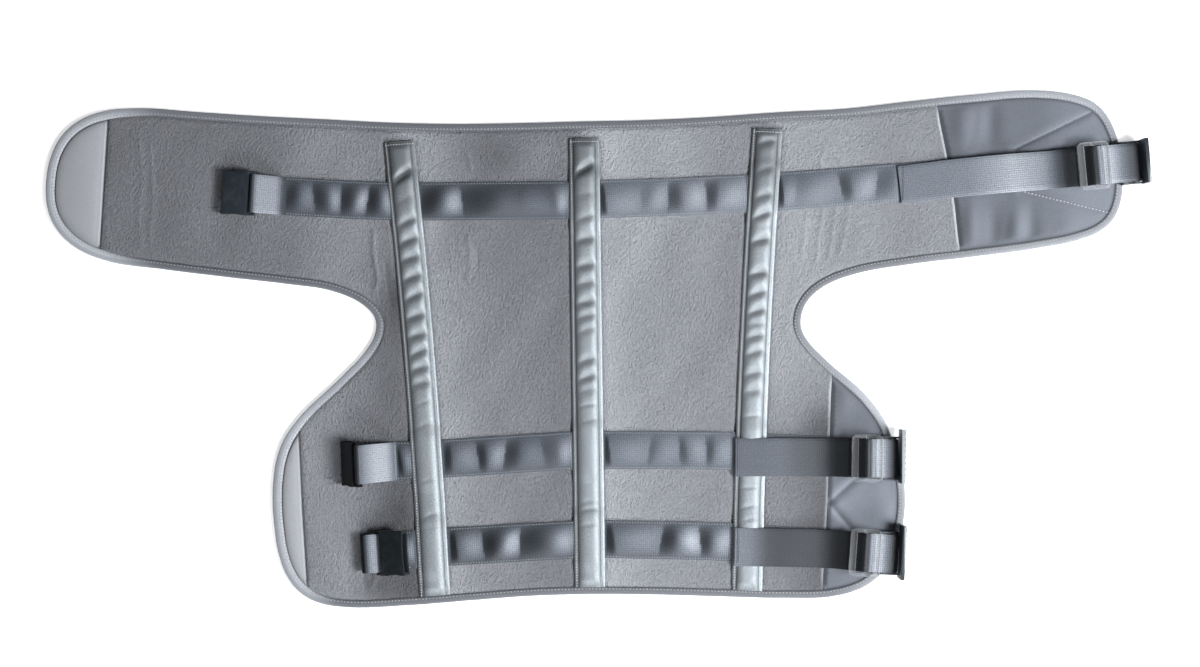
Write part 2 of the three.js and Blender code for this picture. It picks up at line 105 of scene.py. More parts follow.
def placeMesh(name, verts, faces, material):
    mesh = bpy.data.meshes.new(name)
    mesh.from_pydata([tuple(v) for v in verts], [], [tuple(f) for f in faces])
    mesh.materials.append(material)
    mesh.shade_smooth()
    piece = bpy.data.objects.new(name, mesh)
    scene.collection.objects.link(piece)
    return piece


def tidyNormals(piece, sharpAngle=None):
    shell = bmesh.new()
    shell.from_mesh(piece.data)
    bmesh.ops.recalc_face_normals(shell, faces=shell.faces)
    shell.to_mesh(piece.data)
    shell.free()
    if sharpAngle:
        piece.data.set_sharp_from_angle(angle=math.radians(sharpAngle))


def settle(piece, slotName, *nodes):
    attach(piece, "root")
    if nodes:
        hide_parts(*nodes)
    return piece


# camera straight above, light from the lower right, pale floor

view = {"x": 6.0, "y": 15.5, "height": 1600.0, "wide": 1200.0, "plane": 5.0, "sensor": 36.0}
studio = {
    "floorHalf": 6.0, "floorDrop": 0.3, "floorGlow": 0.55,
    "keySpot": (1.25, -0.38, 1.55), "keySize": 0.75, "keyPower": 42.0,
    "sideSpot": (0.1, -1.75, 1.2), "sideSize": 0.9, "sidePower": 17.0,
    "fillSpot": (-0.6, 0.5, 2.0), "fillSize": 2.4, "fillPower": 0.8,
    "sky": 0.06, "skyColour": (0.96, 0.98, 1.0, 1.0),
    "floorTints": ((0.93, 0.935, 0.94, 1), (0.97, 0.97, 0.97, 1)), "floorCloud": 1.3, "floorRough": 0.9,
    "floorSpecular": 0.1,
}


def placeCamera():
    lens = bpy.data.cameras.new("viewCamera")
    lens.sensor_width = view["sensor"]
    lens.lens = view["sensor"] * (view["height"] - view["plane"]) / view["wide"]
    holder = bpy.data.objects.new("viewCamera", lens)
    holder.location = (view["x"] * mm, view["y"] * mm, view["height"] * mm)
    scene.collection.objects.link(holder)
    scene.camera = holder


def placeLamp(name):
    lamp = bpy.data.lights.new(name + "Lamp", "AREA")
    lamp.shape = "DISK"
    lamp.size = studio[name + "Size"]
    lamp.energy = studio[name + "Power"]
    spot = Vector(studio[name + "Spot"])
    holder = bpy.data.objects.new(name + "Lamp", lamp)
    holder.location = spot
    holder.rotation_euler = (-spot).to_track_quat("-Z", "Y").to_euler()  # aimed at the middle of the brace
    scene.collection.objects.link(holder)


def dressStudio():
    for name in ("key", "side", "fill"):
        placeLamp(name)
    world = bpy.data.worlds.new("studioSky")
    world.use_nodes = True
    sky = world.node_tree.nodes["Background"].inputs
    sky["Color"].default_value = studio["skyColour"]
    sky["Strength"].default_value = studio["sky"]
    scene.world = world
    scene.view_settings.view_transform = "Standard"
    material = bpy.data.materials.new("paleFloor")
    material.use_nodes = True
    tree = material.node_tree
    shader = tree.nodes["Principled BSDF"]
    spot = addNode(tree, "ShaderNodeTexCoord").outputs["Object"]
    tint = blendColours(tree, noiseOf(tree, spot, studio["floorCloud"], 2.0), *studio["floorTints"])
    tree.links.new(tint, shader.inputs["Base Color"])
    shader.inputs["Roughness"].default_value = studio["floorRough"]
    shader.inputs["Specular IOR Level"].default_value = studio["floorSpecular"]
    tree.links.new(tint, shader.inputs["Emission Color"])
    shader.inputs["Emission Strength"].default_value = studio["floorGlow"]
    half, drop = studio["floorHalf"], -studio["floorDrop"] * mm
    corners = [(-half, -half, drop), (half, -half, drop), (half, half, drop), (-half, half, drop)]
    placeMesh("paleFloor", corners, [(0, 1, 2, 3)], material)


placeCamera()
dressStudio()
print("camera, lamps and floor set")


# shared surface effects: noise scales are per metre

napEffect = {"pebble": {"Roughness": 0.55, "Distortion": 0.12}, "pebbleDetail": 3.0, "fineScale": 2.2,
             "broadScale": 9.0, "detail": 2.0, "napShares": (0.55, 0.45), "heightShares": (0.4, 0.6)}  # fine and pebble
weaveEffect = {"unevenScale": 60.0, "fuzzScale": 620.0, "detail": 2.0, "fuzz": 0.75, "uneven": 0.1, "height": 0.25}
mouldEffect = {"gritDetail": 3.0, "rubScale": 90.0, "rubDetail": 5.0, "rubRough": 0.7, "scuffFrom": (0.5, 0.8)}


def newGroup(name, floats, results):
    tree = bpy.data.node_groups.new(name, "ShaderNodeTree")
    tree.interface.new_socket("Vector", in_out="INPUT", socket_type="NodeSocketVector")
    for label in floats:
        tree.interface.new_socket(label, in_out="INPUT", socket_type="NodeSocketFloat")
    for label in results:
        tree.interface.new_socket(label, in_out="OUTPUT", socket_type="NodeSocketFloat")
    return tree, tree.nodes.new("NodeGroupInput").outputs, tree.nodes.new("NodeGroupOutput").inputs


def makeBrushedNap():
    tree, given, result = newGroup("brushedNap", ("Grain", "Stretch"), ("Mottle", "Nap", "Height"))
    form = napEffect
    stretch = addNode(tree, "ShaderNodeCombineXYZ", {"X": 1.0, "Y": given["Stretch"], "Z": 1.0}).outputs[0]
    drawn = addNode(tree, "ShaderNodeVectorMath", {0: given["Vector"], 1: stretch}, operation="MULTIPLY").outputs[0]
    pebble = noiseOf(tree, drawn, given["Grain"], form["pebbleDetail"], form["pebble"])
    fine = noiseOf(tree, drawn, sums(tree, "MULTIPLY", given["Grain"], form["fineScale"]), form["detail"])
    tree.links.new(noiseOf(tree, given["Vector"], form["broadScale"], form["detail"]), result["Mottle"])
    for label, (fineShare, pebbleShare) in (("Nap", form["napShares"]), ("Height", form["heightShares"])):
        rest = sums(tree, "MULTIPLY", pebble, pebbleShare)
        tree.links.new(sums(tree, "MULTIPLY_ADD", fine, fineShare, rest), result[label])
    return tree


def makeWovenThread():
    tree, given, result = newGroup("wovenThread", ("Ribs", "Picks"), ("Height", "Shade"))
    form = weaveEffect
    split = addNode(tree, "ShaderNodeSeparateXYZ", {0: given["Vector"]}).outputs
    waves = []
    for axis, count in (("X", "Picks"), ("Y", "Ribs")):
        turn = sums(tree, "MULTIPLY", sums(tree, "MULTIPLY", split[axis], given[count]), math.pi)
        waves.append(sums(tree, "ABSOLUTE", sums(tree, "SINE", turn)))
    height = sums(tree, "MULTIPLY", *waves)
    uneven = noiseOf(tree, given["Vector"], form["unevenScale"], form["detail"])
    fuzz = noiseOf(tree, given["Vector"], form["fuzzScale"], form["detail"])
    mixed = sums(tree, "MULTIPLY_ADD", fuzz, form["fuzz"], sums(tree, "MULTIPLY", uneven, form["uneven"]))
    tree.links.new(height, result["Height"])
    tree.links.new(sums(tree, "MULTIPLY_ADD", height, form["height"], mixed), result["Shade"])
    return tree


def makeMouldGrain():
    tree, given, result = newGroup("mouldGrain", ("Grain",), ("Height", "Scuff"))
    form = mouldEffect
    rub = noiseOf(tree, given["Vector"], form["rubScale"], form["rubDetail"], {"Roughness": form["rubRough"]})
    tree.links.new(noiseOf(tree, given["Vector"], given["Grain"], form["gritDetail"]), result["Height"])
    tree.links.new(between(tree, rub, 0.0, 1.0, *form["scuffFrom"]), result["Scuff"])
    return tree


brushedNap = makeBrushedNap()
wovenThread = makeWovenThread()
mouldGrain = makeMouldGrain()


# finishes: colours as 0 to 255 screen values, sizes per metre

def newFinish(name, fixed):
    material = bpy.data.materials.new(name)
    material.use_nodes = True
    shader = material.node_tree.nodes["Principled BSDF"]
    for key, value in fixed.items():
        shader.inputs[key].default_value = value
    return material, material.node_tree, shader


def addBump(tree, shader, height, strength, distance):
    made = addNode(tree, "ShaderNodeBump", {"Height": height, "Strength": strength, "Distance": distance})
    tree.links.new(made.outputs[0], shader.inputs["Normal"])


napFinishes = {
    "velour": {"dark": (100, 104, 111), "light": (190, 194, 202), "warm": (1.0, 0.99, 0.98, 1), "grain": 470.0,
               "stretch": 0.66, "rough": (0.86, 0.98), "bump": 1.0, "depth": 0.0042, "sheen": 0.3},
    "smoothCloth": {"dark": (92, 98, 107), "light": (130, 136, 146), "warm": (0.97, 0.985, 1.0, 1), "grain": 560.0,
                    "stretch": 1.0, "rough": (0.55, 0.7), "bump": 0.3, "depth": 0.0008, "sheen": 0.35},
    "paleCloth": {"dark": (168, 172, 180), "light": (203, 207, 214), "warm": (1.0, 0.99, 0.98, 1), "grain": 480.0,
                  "stretch": 1.0, "rough": (0.75, 0.9), "bump": 0.4, "depth": 0.001, "sheen": 0.25},
}


def makeNapFinish(name):
    form = napFinishes[name]
    material, tree, shader = newFinish(name, {"Specular IOR Level": 0.25, "Sheen Weight": form["sheen"],
                                              "Sheen Roughness": 0.5})
    spot = addNode(tree, "ShaderNodeTexCoord").outputs["Object"]
    nap = addNode(tree, "ShaderNodeGroup", {"Vector": spot, "Grain": form["grain"], "Stretch": form["stretch"]},
                  node_tree=brushedNap)
    body = blendColours(tree, nap.outputs["Nap"], linear(*form["dark"]), linear(*form["light"]))
    cast = blendColours(tree, nap.outputs["Mottle"], (1, 1, 1, 1), form["warm"])
    body = blendColours(tree, 1.0, body, cast, "MULTIPLY")
    lay = addNode(tree, "ShaderNodeAttribute", attribute_name="paintedLightAndShade").outputs["Fac"]
    body = blendColours(tree, 1.0, body, lay, "MULTIPLY")  # painted light and shade, set per vertex further down
    tree.links.new(body, shader.inputs["Base Color"])
    tree.links.new(between(tree, nap.outputs["Nap"], *form["rough"]), shader.inputs["Roughness"])
    addBump(tree, shader, nap.outputs["Height"], form["bump"], form["depth"])
    return material


sewingThread = {"ribs": 1500.0, "picks": 1500.0, "turn": 30.0, "bump": 0.3, "depth": 0.0002}
threadFinishes = {  # straps, stays and tape also say how metallic they are and how calm their colour where palest
    "webbing": {"dark": (42, 48, 57), "light": (120, 128, 139), "ribs": 460.0, "picks": 480.0, "turn": 0.0,
                "metal": 0.2, "calm": 0.6, "rough": (0.54, 0.44), "specular": 0.55, "bump": 0.7, "depth": 0.0002,
                "sheen": 0.06},
    "satin": {"dark": (96, 105, 112), "light": (198, 207, 214), "ribs": 900.0, "picks": 520.0, "turn": 38.0,
              "metal": 0.4, "calm": 1.0, "rough": (0.6, 0.5), "specular": 0.8, "bump": 0.5, "depth": 0.0001,
              "sheen": 0.1},
    "bindingTape": {"dark": (98, 102, 109), "light": (134, 138, 145), "ribs": 700.0, "picks": 620.0, "turn": 90.0,
                    "metal": 0.0, "calm": 0.8, "rough": (0.6, 0.45), "specular": 0.5, "bump": 0.5, "depth": 0.0002,
                    "sheen": 0.2},
    "thread": {"dark": (168, 172, 179), "light": (214, 217, 221), "rough": (0.6, 0.45), "specular": 0.5, "sheen": 0.2,
               **sewingThread},
    "paleThread": {"dark": (205, 208, 212), "light": (240, 242, 244), "rough": (0.6, 0.45), "specular": 0.5,
                   "sheen": 0.2, **sewingThread},
    "strapThread": {"dark": (138, 145, 154), "light": (196, 203, 210), "rough": (0.6, 0.5), "specular": 0.4,
                    "sheen": 0.1, **sewingThread},
    "darkThread": {"dark": (58, 64, 74), "light": (92, 99, 110), "rough": (0.6, 0.5), "specular": 0.4, "sheen": 0.1,
                   **sewingThread},
}
toneForm = {"calmFrom": (1.2, 3.2), "dullFrom": (0.1, 0.35), "dullest": 0.1}  # tones that lose colour, or shine


def makeThreadFinish(name):
    form = threadFinishes[name]
    material, tree, shader = newFinish(name, {"Specular IOR Level": form["specular"], "Sheen Weight": form["sheen"],
                                              "Sheen Roughness": 0.4, "Metallic": form.get("metal", 0.0)})
    toned = "metal" in form
    spot = addNode(tree, "ShaderNodeTexCoord").outputs["UV" if toned else "Object"]  # UV maps are in metres
    turned = addNode(tree, "ShaderNodeMapping", {"Vector": spot, "Rotation": (0, 0, math.radians(form["turn"]))})
    threads = {"Vector": turned.outputs[0], "Ribs": form["ribs"], "Picks": form["picks"]}
    weave = addNode(tree, "ShaderNodeGroup", threads, node_tree=wovenThread)
    body = blendColours(tree, weave.outputs["Shade"], linear(*form["dark"]), linear(*form["light"]))
    if toned:  # painted light and shade: paler and greyer in painted highlights, darker and less shiny in painted shade
        tone = addNode(tree, "ShaderNodeAttribute", attribute_name="toneAndPaintedLight").outputs["Fac"]
        body = blendColours(tree, 1.0, body, tone, "MULTIPLY")
        calm = between(tree, tone, 1.0, form["calm"], *toneForm["calmFrom"])
        body = addNode(tree, "ShaderNodeHueSaturation", {"Saturation": calm, "Color": body}).outputs[0]
        shine = between(tree, tone, toneForm["dullest"], form["specular"], *toneForm["dullFrom"])
        tree.links.new(shine, shader.inputs["Specular IOR Level"])
    tree.links.new(body, shader.inputs["Base Color"])
    tree.links.new(between(tree, weave.outputs["Shade"], *form["rough"]), shader.inputs["Roughness"])
    addBump(tree, shader, weave.outputs["Height"], form["bump"], form["depth"])
    return material


plasticFinishes = {
    "darkPlastic": {"body": (44, 53, 61), "worn": (66, 75, 83), "rough": (0.42, 0.6), "specular": 0.5},
    # painted shade: darker, duller copies of the same dark plastic for the thigh sockets, which lie in shade
    "blackPlastic": {"body": (25, 32, 36), "worn": (44, 52, 57), "rough": (0.4, 0.58), "specular": 0.5},
    "shadedPlastic": {"body": (12, 16, 20), "worn": (19, 24, 29), "rough": (0.62, 0.8), "specular": 0.15},
}
plasticGrain = {"grain": 1700.0, "bump": 0.25, "depth": 0.0003}
lipForm = {  # painted highlight: a pale strip along each prong's lit lip, with short darker ribs
    "pale": (172, 182, 188), "wide": {"waist_prong": 3.2, "thigh_prong_upper": 5.2, "thigh_prong_lower": 3.6},
    "ribPitch": 6.0, "ribShare": 0.35, "ribWide": 1.6, "ribDim": 0.6,
}
clearForm = {"body": (220, 225, 229), "worn": (236, 239, 241), "rough": (0.22, 0.4), "rimBlend": 0.62,
             "alpha": (0.04, 1.0), "grain": 900.0, "bump": 0.1, "depth": 0.0003}


def mouldedBody(tree, spot, form, relief):
    grain = addNode(tree, "ShaderNodeGroup", {"Vector": spot, "Grain": relief["grain"]}, node_tree=mouldGrain)
    return grain.outputs, blendColours(tree, grain.outputs["Scuff"], linear(*form["body"]), linear(*form["worn"]))


def finishMoulding(tree, shader, grain, body, rough, relief):
    tree.links.new(body, shader.inputs["Base Color"])
    tree.links.new(between(tree, grain["Scuff"], *rough), shader.inputs["Roughness"])
    addBump(tree, shader, grain["Height"], relief["bump"], relief["depth"])


def makeDarkPlastic(name, lip=None):
    form = plasticFinishes[name]
    material, tree, shader = newFinish(lip + "Plastic" if lip else name, {"Specular IOR Level": form["specular"]})
    spot = addNode(tree, "ShaderNodeTexCoord").outputs["Object"]
    grain, body = mouldedBody(tree, spot, form, plasticGrain)
    # painted highlight along the lip
    if lip:
        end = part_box(lip)[1][0]
        edge = end - lipForm["wide"][lip] * mm
        split = addNode(tree, "ShaderNodeSeparateXYZ", {0: spot}).outputs
        strip = between(tree, split["X"], 0.0, 1.0, edge, edge + mm)
        phase = sums(tree, "FRACT", sums(tree, "DIVIDE", split["Y"], lipForm["ribPitch"] * mm))
        ribbed = sums(tree, "GREATER_THAN", split["X"], end - lipForm["ribWide"] * mm)
        rib = sums(tree, "MULTIPLY", sums(tree, "LESS_THAN", phase, lipForm["ribShare"]), ribbed)
        lipHighlight = sums(tree, "MULTIPLY", strip, sums(tree, "MULTIPLY_ADD", rib, -lipForm["ribDim"], 1.0))
        body = blendColours(tree, lipHighlight, body, linear(*lipForm["pale"]))
    finishMoulding(tree, shader, grain, body, form["rough"], plasticGrain)
    return material


def makeClearPlastic():
    material, tree, shader = newFinish("clearPlastic", {"IOR": 1.5, "Specular IOR Level": 0.6, "Coat Weight": 0.2,
                                                        "Coat Roughness": 0.25})
    spot = addNode(tree, "ShaderNodeTexCoord").outputs["Object"]
    grain, body = mouldedBody(tree, spot, clearForm, clearForm)
    finishMoulding(tree, shader, grain, body, clearForm["rough"], clearForm)
    rim = addNode(tree, "ShaderNodeLayerWeight", {"Blend": clearForm["rimBlend"]}).outputs["Facing"]
    tree.links.new(between(tree, rim, *clearForm["alpha"]), shader.inputs["Alpha"])  # clear where seen square on
    return material


finish = {name: makeNapFinish(name) for name in napFinishes}
finish.update({name: makeThreadFinish(name) for name in threadFinishes})
finish.update({name: makeDarkPlastic(name) for name in plasticFinishes})
finish["clearPlastic"] = makeClearPlastic()
print("finishes made:", ", ".join(finish))


# outline of the brace, read from the binding's widest ring in the frame

outlineForm = {"ringZ": 1.4, "ringSlack": 0.02, "step": 1.5, "borderEvery": 2, "fine": 24, "seamStep": 2.2}
edgeNudges = [  # soft pulls of the edge: middle of the stretch, its reach and the move, in mm
    ((-375, 238), (65, 30), (0, -2.0)), ((90, 232), (80, 30), (0, -2.8)), ((245, 243), (75, 30), (0, -3.9)),
    ((410, 98), (90, 30), (0, -1.8)), ((508, 122), (30, 35), (1.4, -1.4)), ((500, 245), (28, 22), (1.6, 2.2)),
    ((-234, 9), (30, 60), (1.7, 0)), ((-280, -45), (35, 35), (1.2, -0.8)), ((278, -58), (25, 25), (2.0, 0.6)),
    ((304, -150), (18, 42), (2.6, 0)),
]


def ringArea(points):
    after = np.roll(points, -1, 0)
    return np.sum(points[:, 0] * after[:, 1] - points[:, 1] * after[:, 0]) / 2


def cadRing(node, z):
    shell = bmesh.new()
    shell.from_mesh(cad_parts[node].data)
    bmesh.ops.remove_doubles(shell, verts=shell.verts, dist=weld)
    chosen = [v for v in shell.verts if abs(v.co.z / mm - z) < outlineForm["ringSlack"]]
    ring, seen = [chosen[0]], {chosen[0]}
    while True:
        near = [e.other_vert(ring[-1]) for e in ring[-1].link_edges]
        onward = [v for v in near if v in chosen and v not in seen]
        if not onward:
            break
        ring.append(onward[0])
        seen.add(onward[0])
    points = np.array([[v.co.x, v.co.y] for v in ring]) / mm
    shell.free()
    return points if ringArea(points) > 0 else points[::-1]


def smoothRing(points, step):
    after = np.roll(points, -1, 0)
    gap = np.linalg.norm(after - points, axis=1)[:, None]
    leave = (after - points) / gap
    back = np.roll(gap, 1, 0)
    tangent = (np.roll(leave, 1, 0) * gap + leave * back) / (gap + back)
    t = np.linspace(0, 1, outlineForm["fine"], endpoint=False)[None, :, None]
    p, q = points[:, None], after[:, None]
    m, n = (tangent * gap)[:, None], (np.roll(tangent, -1, 0) * gap)[:, None]
    fine = (2 * t**3 - 3 * t**2 + 1) * p + (t**3 - 2 * t**2 + t) * m
    fine = fine + (3 * t**2 - 2 * t**3) * q + (t**3 - t**2) * n
    return evenLine(np.vstack([fine.reshape(-1, 2), points[:1]]), step)[:-1]


def evenLine(line, step):
    run = np.r_[0, np.cumsum(np.linalg.norm(np.diff(line, axis=0), axis=1))]
    marks = np.linspace(0, run[-1], max(2, int(round(run[-1] / step)) + 1))
    return np.stack([np.interp(marks, run, line[:, k]) for k in range(line.shape[1])], 1)


def pulledEdge(ring):
    moved = ring.copy()
    for middle, reach, move in edgeNudges:
        near = np.exp(-np.sum(((ring - middle - (planShift, 0)) / reach) ** 2, 1))
        moved += near[:, None] * move
    return moved


outline = smoothRing(pulledEdge(cadRing("edge_binding", outlineForm["ringZ"])), outlineForm["step"])
ahead = np.roll(outline, -1, 0) - np.roll(outline, 1, 0)
ahead /= np.linalg.norm(ahead, axis=1)[:, None]
inward = np.stack([-ahead[:, 1], ahead[:, 0]], 1)


def flatTree(points):
    tree = kdtree.KDTree(len(points))
    for index, spot in enumerate(points):
        tree.insert((spot[0], spot[1], 0), index)
    tree.balance()
    return tree


def treeGap(tree, points):
    return np.array([tree.find((p[0], p[1], 0))[2] for p in points])


outlineTree = flatTree(outline)


def insetRing(depth):
    return (outline + inward * depth)[::outlineForm["borderEvery"]]


def depthAt(points):
    return treeGap(outlineTree, points)


def lineDistance(points, line):
    best = np.full(len(points), np.inf)
    for a, b in zip(line[:-1], line[1:]):
        way = b - a
        t = np.clip(((points - a) @ way) / (way @ way), 0, 1)[:, None]
        best = np.minimum(best, np.linalg.norm(points - a - t * way, axis=1))
    return best


def spotsOf(mesh):
    spots = np.empty(len(mesh.vertices) * 3)
    mesh.vertices.foreach_get("co", spots)
    return spots.reshape(-1, 3)


def planOf(piece):
    return spotsOf(piece.data)[:, :2] / mm


def storeValues(piece, label, values):
    piece.data.attributes.new(label, "FLOAT", "POINT").data.foreach_set("value", np.asarray(values, float).ravel())


def planLine(rows):
    return np.array(rows, float) + (planShift, 0)


def seamX(seam, y):
    order = np.argsort(seam[:, 1])
    return np.interp(y, seam[order, 1], seam[order, 0])


def splitRing(ring, seam, side):
    inBand = (ring[:, 1] > seam[:, 1].min()) & (ring[:, 1] < seam[:, 1].max())
    beyond = (side * (ring[:, 0] - seamX(seam, ring[:, 1])) > 0) & inBand
    ring = np.roll(ring, -int(np.argmin(beyond)), 0)
    beyond = np.roll(beyond, -int(np.argmin(beyond)))
    marks = np.flatnonzero(beyond)
    run = ring[marks[0]:marks[-1] + 1]
    rest = np.vstack([ring[marks[-1] + 1:], ring[:marks[0]]])
    count = int(abs(run[-1][1] - run[0][1]) / outlineForm["seamStep"])
    y = np.linspace(run[0][1], run[-1][1], count)[1:-1]
    bridge = np.stack([seamX(seam, y), y], 1)
    return np.vstack([run, bridge[::-1]]), np.vstack([rest, bridge])


def insideOf(points, border):
    inside = np.zeros(len(points), bool)
    for a, b in zip(border, np.roll(border, -1, 0)):
        if a[1] == b[1]:
            continue
        crosses = (a[1] > points[:, 1]) != (b[1] > points[:, 1])
        reach = (b[0] - a[0]) * (points[:, 1] - a[1]) / (b[1] - a[1]) + a[0]
        inside ^= crosses & (points[:, 0] < reach)
    return inside


gridForm = {"rowShare": 0.866, "rowGap": 0.55, "fillGap": 0.62, "weld": 1e-5}  # spacing of a pad's vertices


def planMesh(border, rows, spacing):
    low, high = border.min(0), border.max(0)
    lines = []
    for k, y in enumerate(np.arange(low[1], high[1], spacing * gridForm["rowShare"])):
        x = np.arange(low[0] + (k % 2) * spacing / 2, high[0], spacing)
        lines.append(np.stack([x, np.full(len(x), y)], 1))
    grid = np.vstack(lines)
    fixed = border
    for row in rows:
        row = row[insideOf(row, border)]
        row = row[treeGap(flatTree(fixed), row) > gridForm["rowGap"]] if len(row) else row
        fixed = np.vstack([fixed, row])
    grid = grid[insideOf(grid, border)]
    grid = grid[treeGap(flatTree(fixed), grid) > gridForm["fillGap"] * spacing]
    points = np.vstack([fixed, grid])
    loop = list(range(len(border)))
    made = geometry.delaunay_2d_cdt([Vector(p) for p in points], [], [loop], 1, gridForm["weld"])
    return np.array([tuple(v) for v in made[0]]), [list(f) for f in made[2]]


def closedPad(name, plan, triangles, top, low, material):
    count = len(plan)
    verts = np.vstack([np.c_[plan, top], np.c_[plan, low]]) * mm
    faces, used = [], {}
    for tri in triangles:
        a, b, c = (plan[k] for k in tri)
        if (b[0] - a[0]) * (c[1] - a[1]) < (b[1] - a[1]) * (c[0] - a[0]):
            tri = tri[::-1]
        faces.append(tuple(tri))
        faces.append(tuple(k + count for k in reversed(tri)))
        for k in range(3):
            edge = (tri[k], tri[(k + 1) % 3])
            used[edge] = True
    for a, b in used:
        if (b, a) not in used:
            faces.append((a, a + count, b + count, b))
    return placeMesh(name, verts, faces, material)


# plan of the stay channels, with their creases given by height in the plan and depth

stayForm = {
    "wide": 30.6, "flange": 4.0, "edge": 0.9, "tall": 4.2, "puff": 0.6, "dome": (3.2, 0.8), "middle": (2, 0.5),
    "bow": 3.2, "base": 5.3, "rimShare": 0.5, "ends": 9.0, "endShare": 0.35, "fill": 0.6, "step": 1.6, "columns": 19,
    "flangeColumns": (0.0, 0.5, 2.0), "seamColumns": (0.8, 0.1), "padInset": 0.6, "edgeRun": (-236, 206, 2.4),
    "slant": 0.24, "deepFrom": 1.5, "deepSlant": 2.2, "slantSway": (0.45, 1.7), "creaseCurve": 1.6, "curveMiddle": 0.4,
    "creaseWide": 5.0, "creaseDeep": 2.3, "creaseMost": 1.4, "sharpShare": 0.2, "sharpness": 2, "lowFrom": -45,
    "lowWide": 0.42, "creaseTone": 0.2, "toneMost": 1.2, "slopeTones": (0.55, 0.3), "toneRange": (0.55, 1.6),
    "topShade": 0.34, "topFrom": (110, 190), "endShade": 0.3, "flangeTones": (0.6, 1.5), "flangeFrom": 0.5,
    "seamTone": 0.6, "seamReach": 1.0, "heldCrease": 0.5, "heldEnds": 0.9, "lift": 1.9, "liftClear": 20.5,
    "liftRamp": 15.0,
}
stayRows = {
    "left": {"top": (-200, 207.5), "foot": (-164, -246.6), "bow": 1, "creases": [
        (173, 2.0), (149, 0.3), (127, 1.1), (109, 1.2), (91, 1.2), (72, 1.2), (53, 1.2), (33, 1.2), (14, 1.2),
        (-3, 1.0), (-19, 1.1), (-34, 0.9), (-54, 0.5), (-76, 0.5), (-131, 0.5), (-166, 0.6), (-178, 0.4)]},
    "middle": {"top": (-15, 210.5), "foot": (-9, -238), "bow": 0, "creases": [
        (180, 1.7), (154, 0.3), (131, 0.6), (110, 1.1), (84, 1.1), (66, 0.8), (47, 1.1), (33, 0.8), (19, 0.5),
        (-11, 0.9), (-28, 1.0), (-41, 0.5), (-56, 0.8), (-72, 0.4), (-152, 0.5), (-160, 0.7), (-175, 0.7)]},
    "right": {"top": (168.5, 220), "foot": (148, -241.2), "bow": -1, "creases": [
        (207, 0.8), (179, 0.6), (153, 0.7), (134, 1.2), (109, 1.1), (76, 1.2), (56, 1.0), (38, 1.0), (25, 0.6),
        (13, 0.9), (-3, 0.8), (-24, 0.8), (-42, 0.7), (-67, 0.7), (-138, 0.7), (-157, 0.8), (-170, 0.6)]},
}


def stayMiddle(stay, y):
    t = (stay["top"][1] - y) / (stay["top"][1] - stay["foot"][1])
    held = np.clip(t, 0, 1)
    straight = stay["top"][0] + t * (stay["foot"][0] - stay["top"][0])
    return straight + stay["bow"] * stayForm["bow"] * 4 * held * (1 - held)


def stayEdges(away):
    y = np.arange(*stayForm["edgeRun"])
    out = stayForm["wide"] / 2 + away
    return [np.stack([stayMiddle(stay, y) + side * out + planShift, y], 1)
            for stay in stayRows.values() for side in (-1, 1)]


def stayGap(points):
    y = points[:, 1]
    gap = np.full(len(points), np.inf)
    for stay in stayRows.values():
        along = np.maximum(y - stay["top"][1], stay["foot"][1] - y)
        beside = np.abs(points[:, 0] - planShift - stayMiddle(stay, y)) - stayForm["wide"] / 2
        gap = np.minimum(gap, np.maximum(along, beside))
    return gap


# padding swells between its seams: a short cloth simulation, held at rims, seams and creases

plumpForm = {"pressure": 4.0, "frames": 20, "mass": 0.02, "stiff": 25.0, "bend": 0.6, "quality": 5, "cap": 0.7}


def plumpPadding(piece, held):
    keep = piece.vertex_groups.new(name="held")
    keep.add([int(k) for k in np.flatnonzero(held)], 1.0, "REPLACE")
    cloth = piece.modifiers.new("plump", "CLOTH")
    rule = cloth.settings
    rule.quality = plumpForm["quality"]
    rule.mass = plumpForm["mass"]
    rule.tension_stiffness = rule.compression_stiffness = plumpForm["stiff"]
    rule.bending_stiffness = plumpForm["bend"]
    rule.use_pressure = True
    rule.uniform_pressure_force = plumpForm["pressure"]
    rule.effector_weights.gravity = 0
    rule.vertex_group_mass = "held"
    cloth.point_cache.frame_start, cloth.point_cache.frame_end = 1, plumpForm["frames"]
    for step in range(1, plumpForm["frames"] + 1):
        scene.frame_set(step)
    rest = spotsOf(piece.data)
    move = spotsOf(piece.evaluated_get(bpy.context.evaluated_depsgraph_get()).data) - rest
    far = np.linalg.norm(move, axis=1)
    move *= (np.minimum(far, plumpForm["cap"] * mm) / np.maximum(far, 1e-9))[:, None]
    piece.modifiers.remove(cloth)
    piece.vertex_groups.remove(keep)
    piece.data.vertices.foreach_set("co", (rest + move).ravel())
    piece.data.update()
    scene.frame_set(1)
    print(piece.name, "swelled by up to", round(float(np.linalg.norm(move, axis=1).max()) / mm, 2), "mm")


# velour panel, the two smooth end pads and the plan of the pale tabs

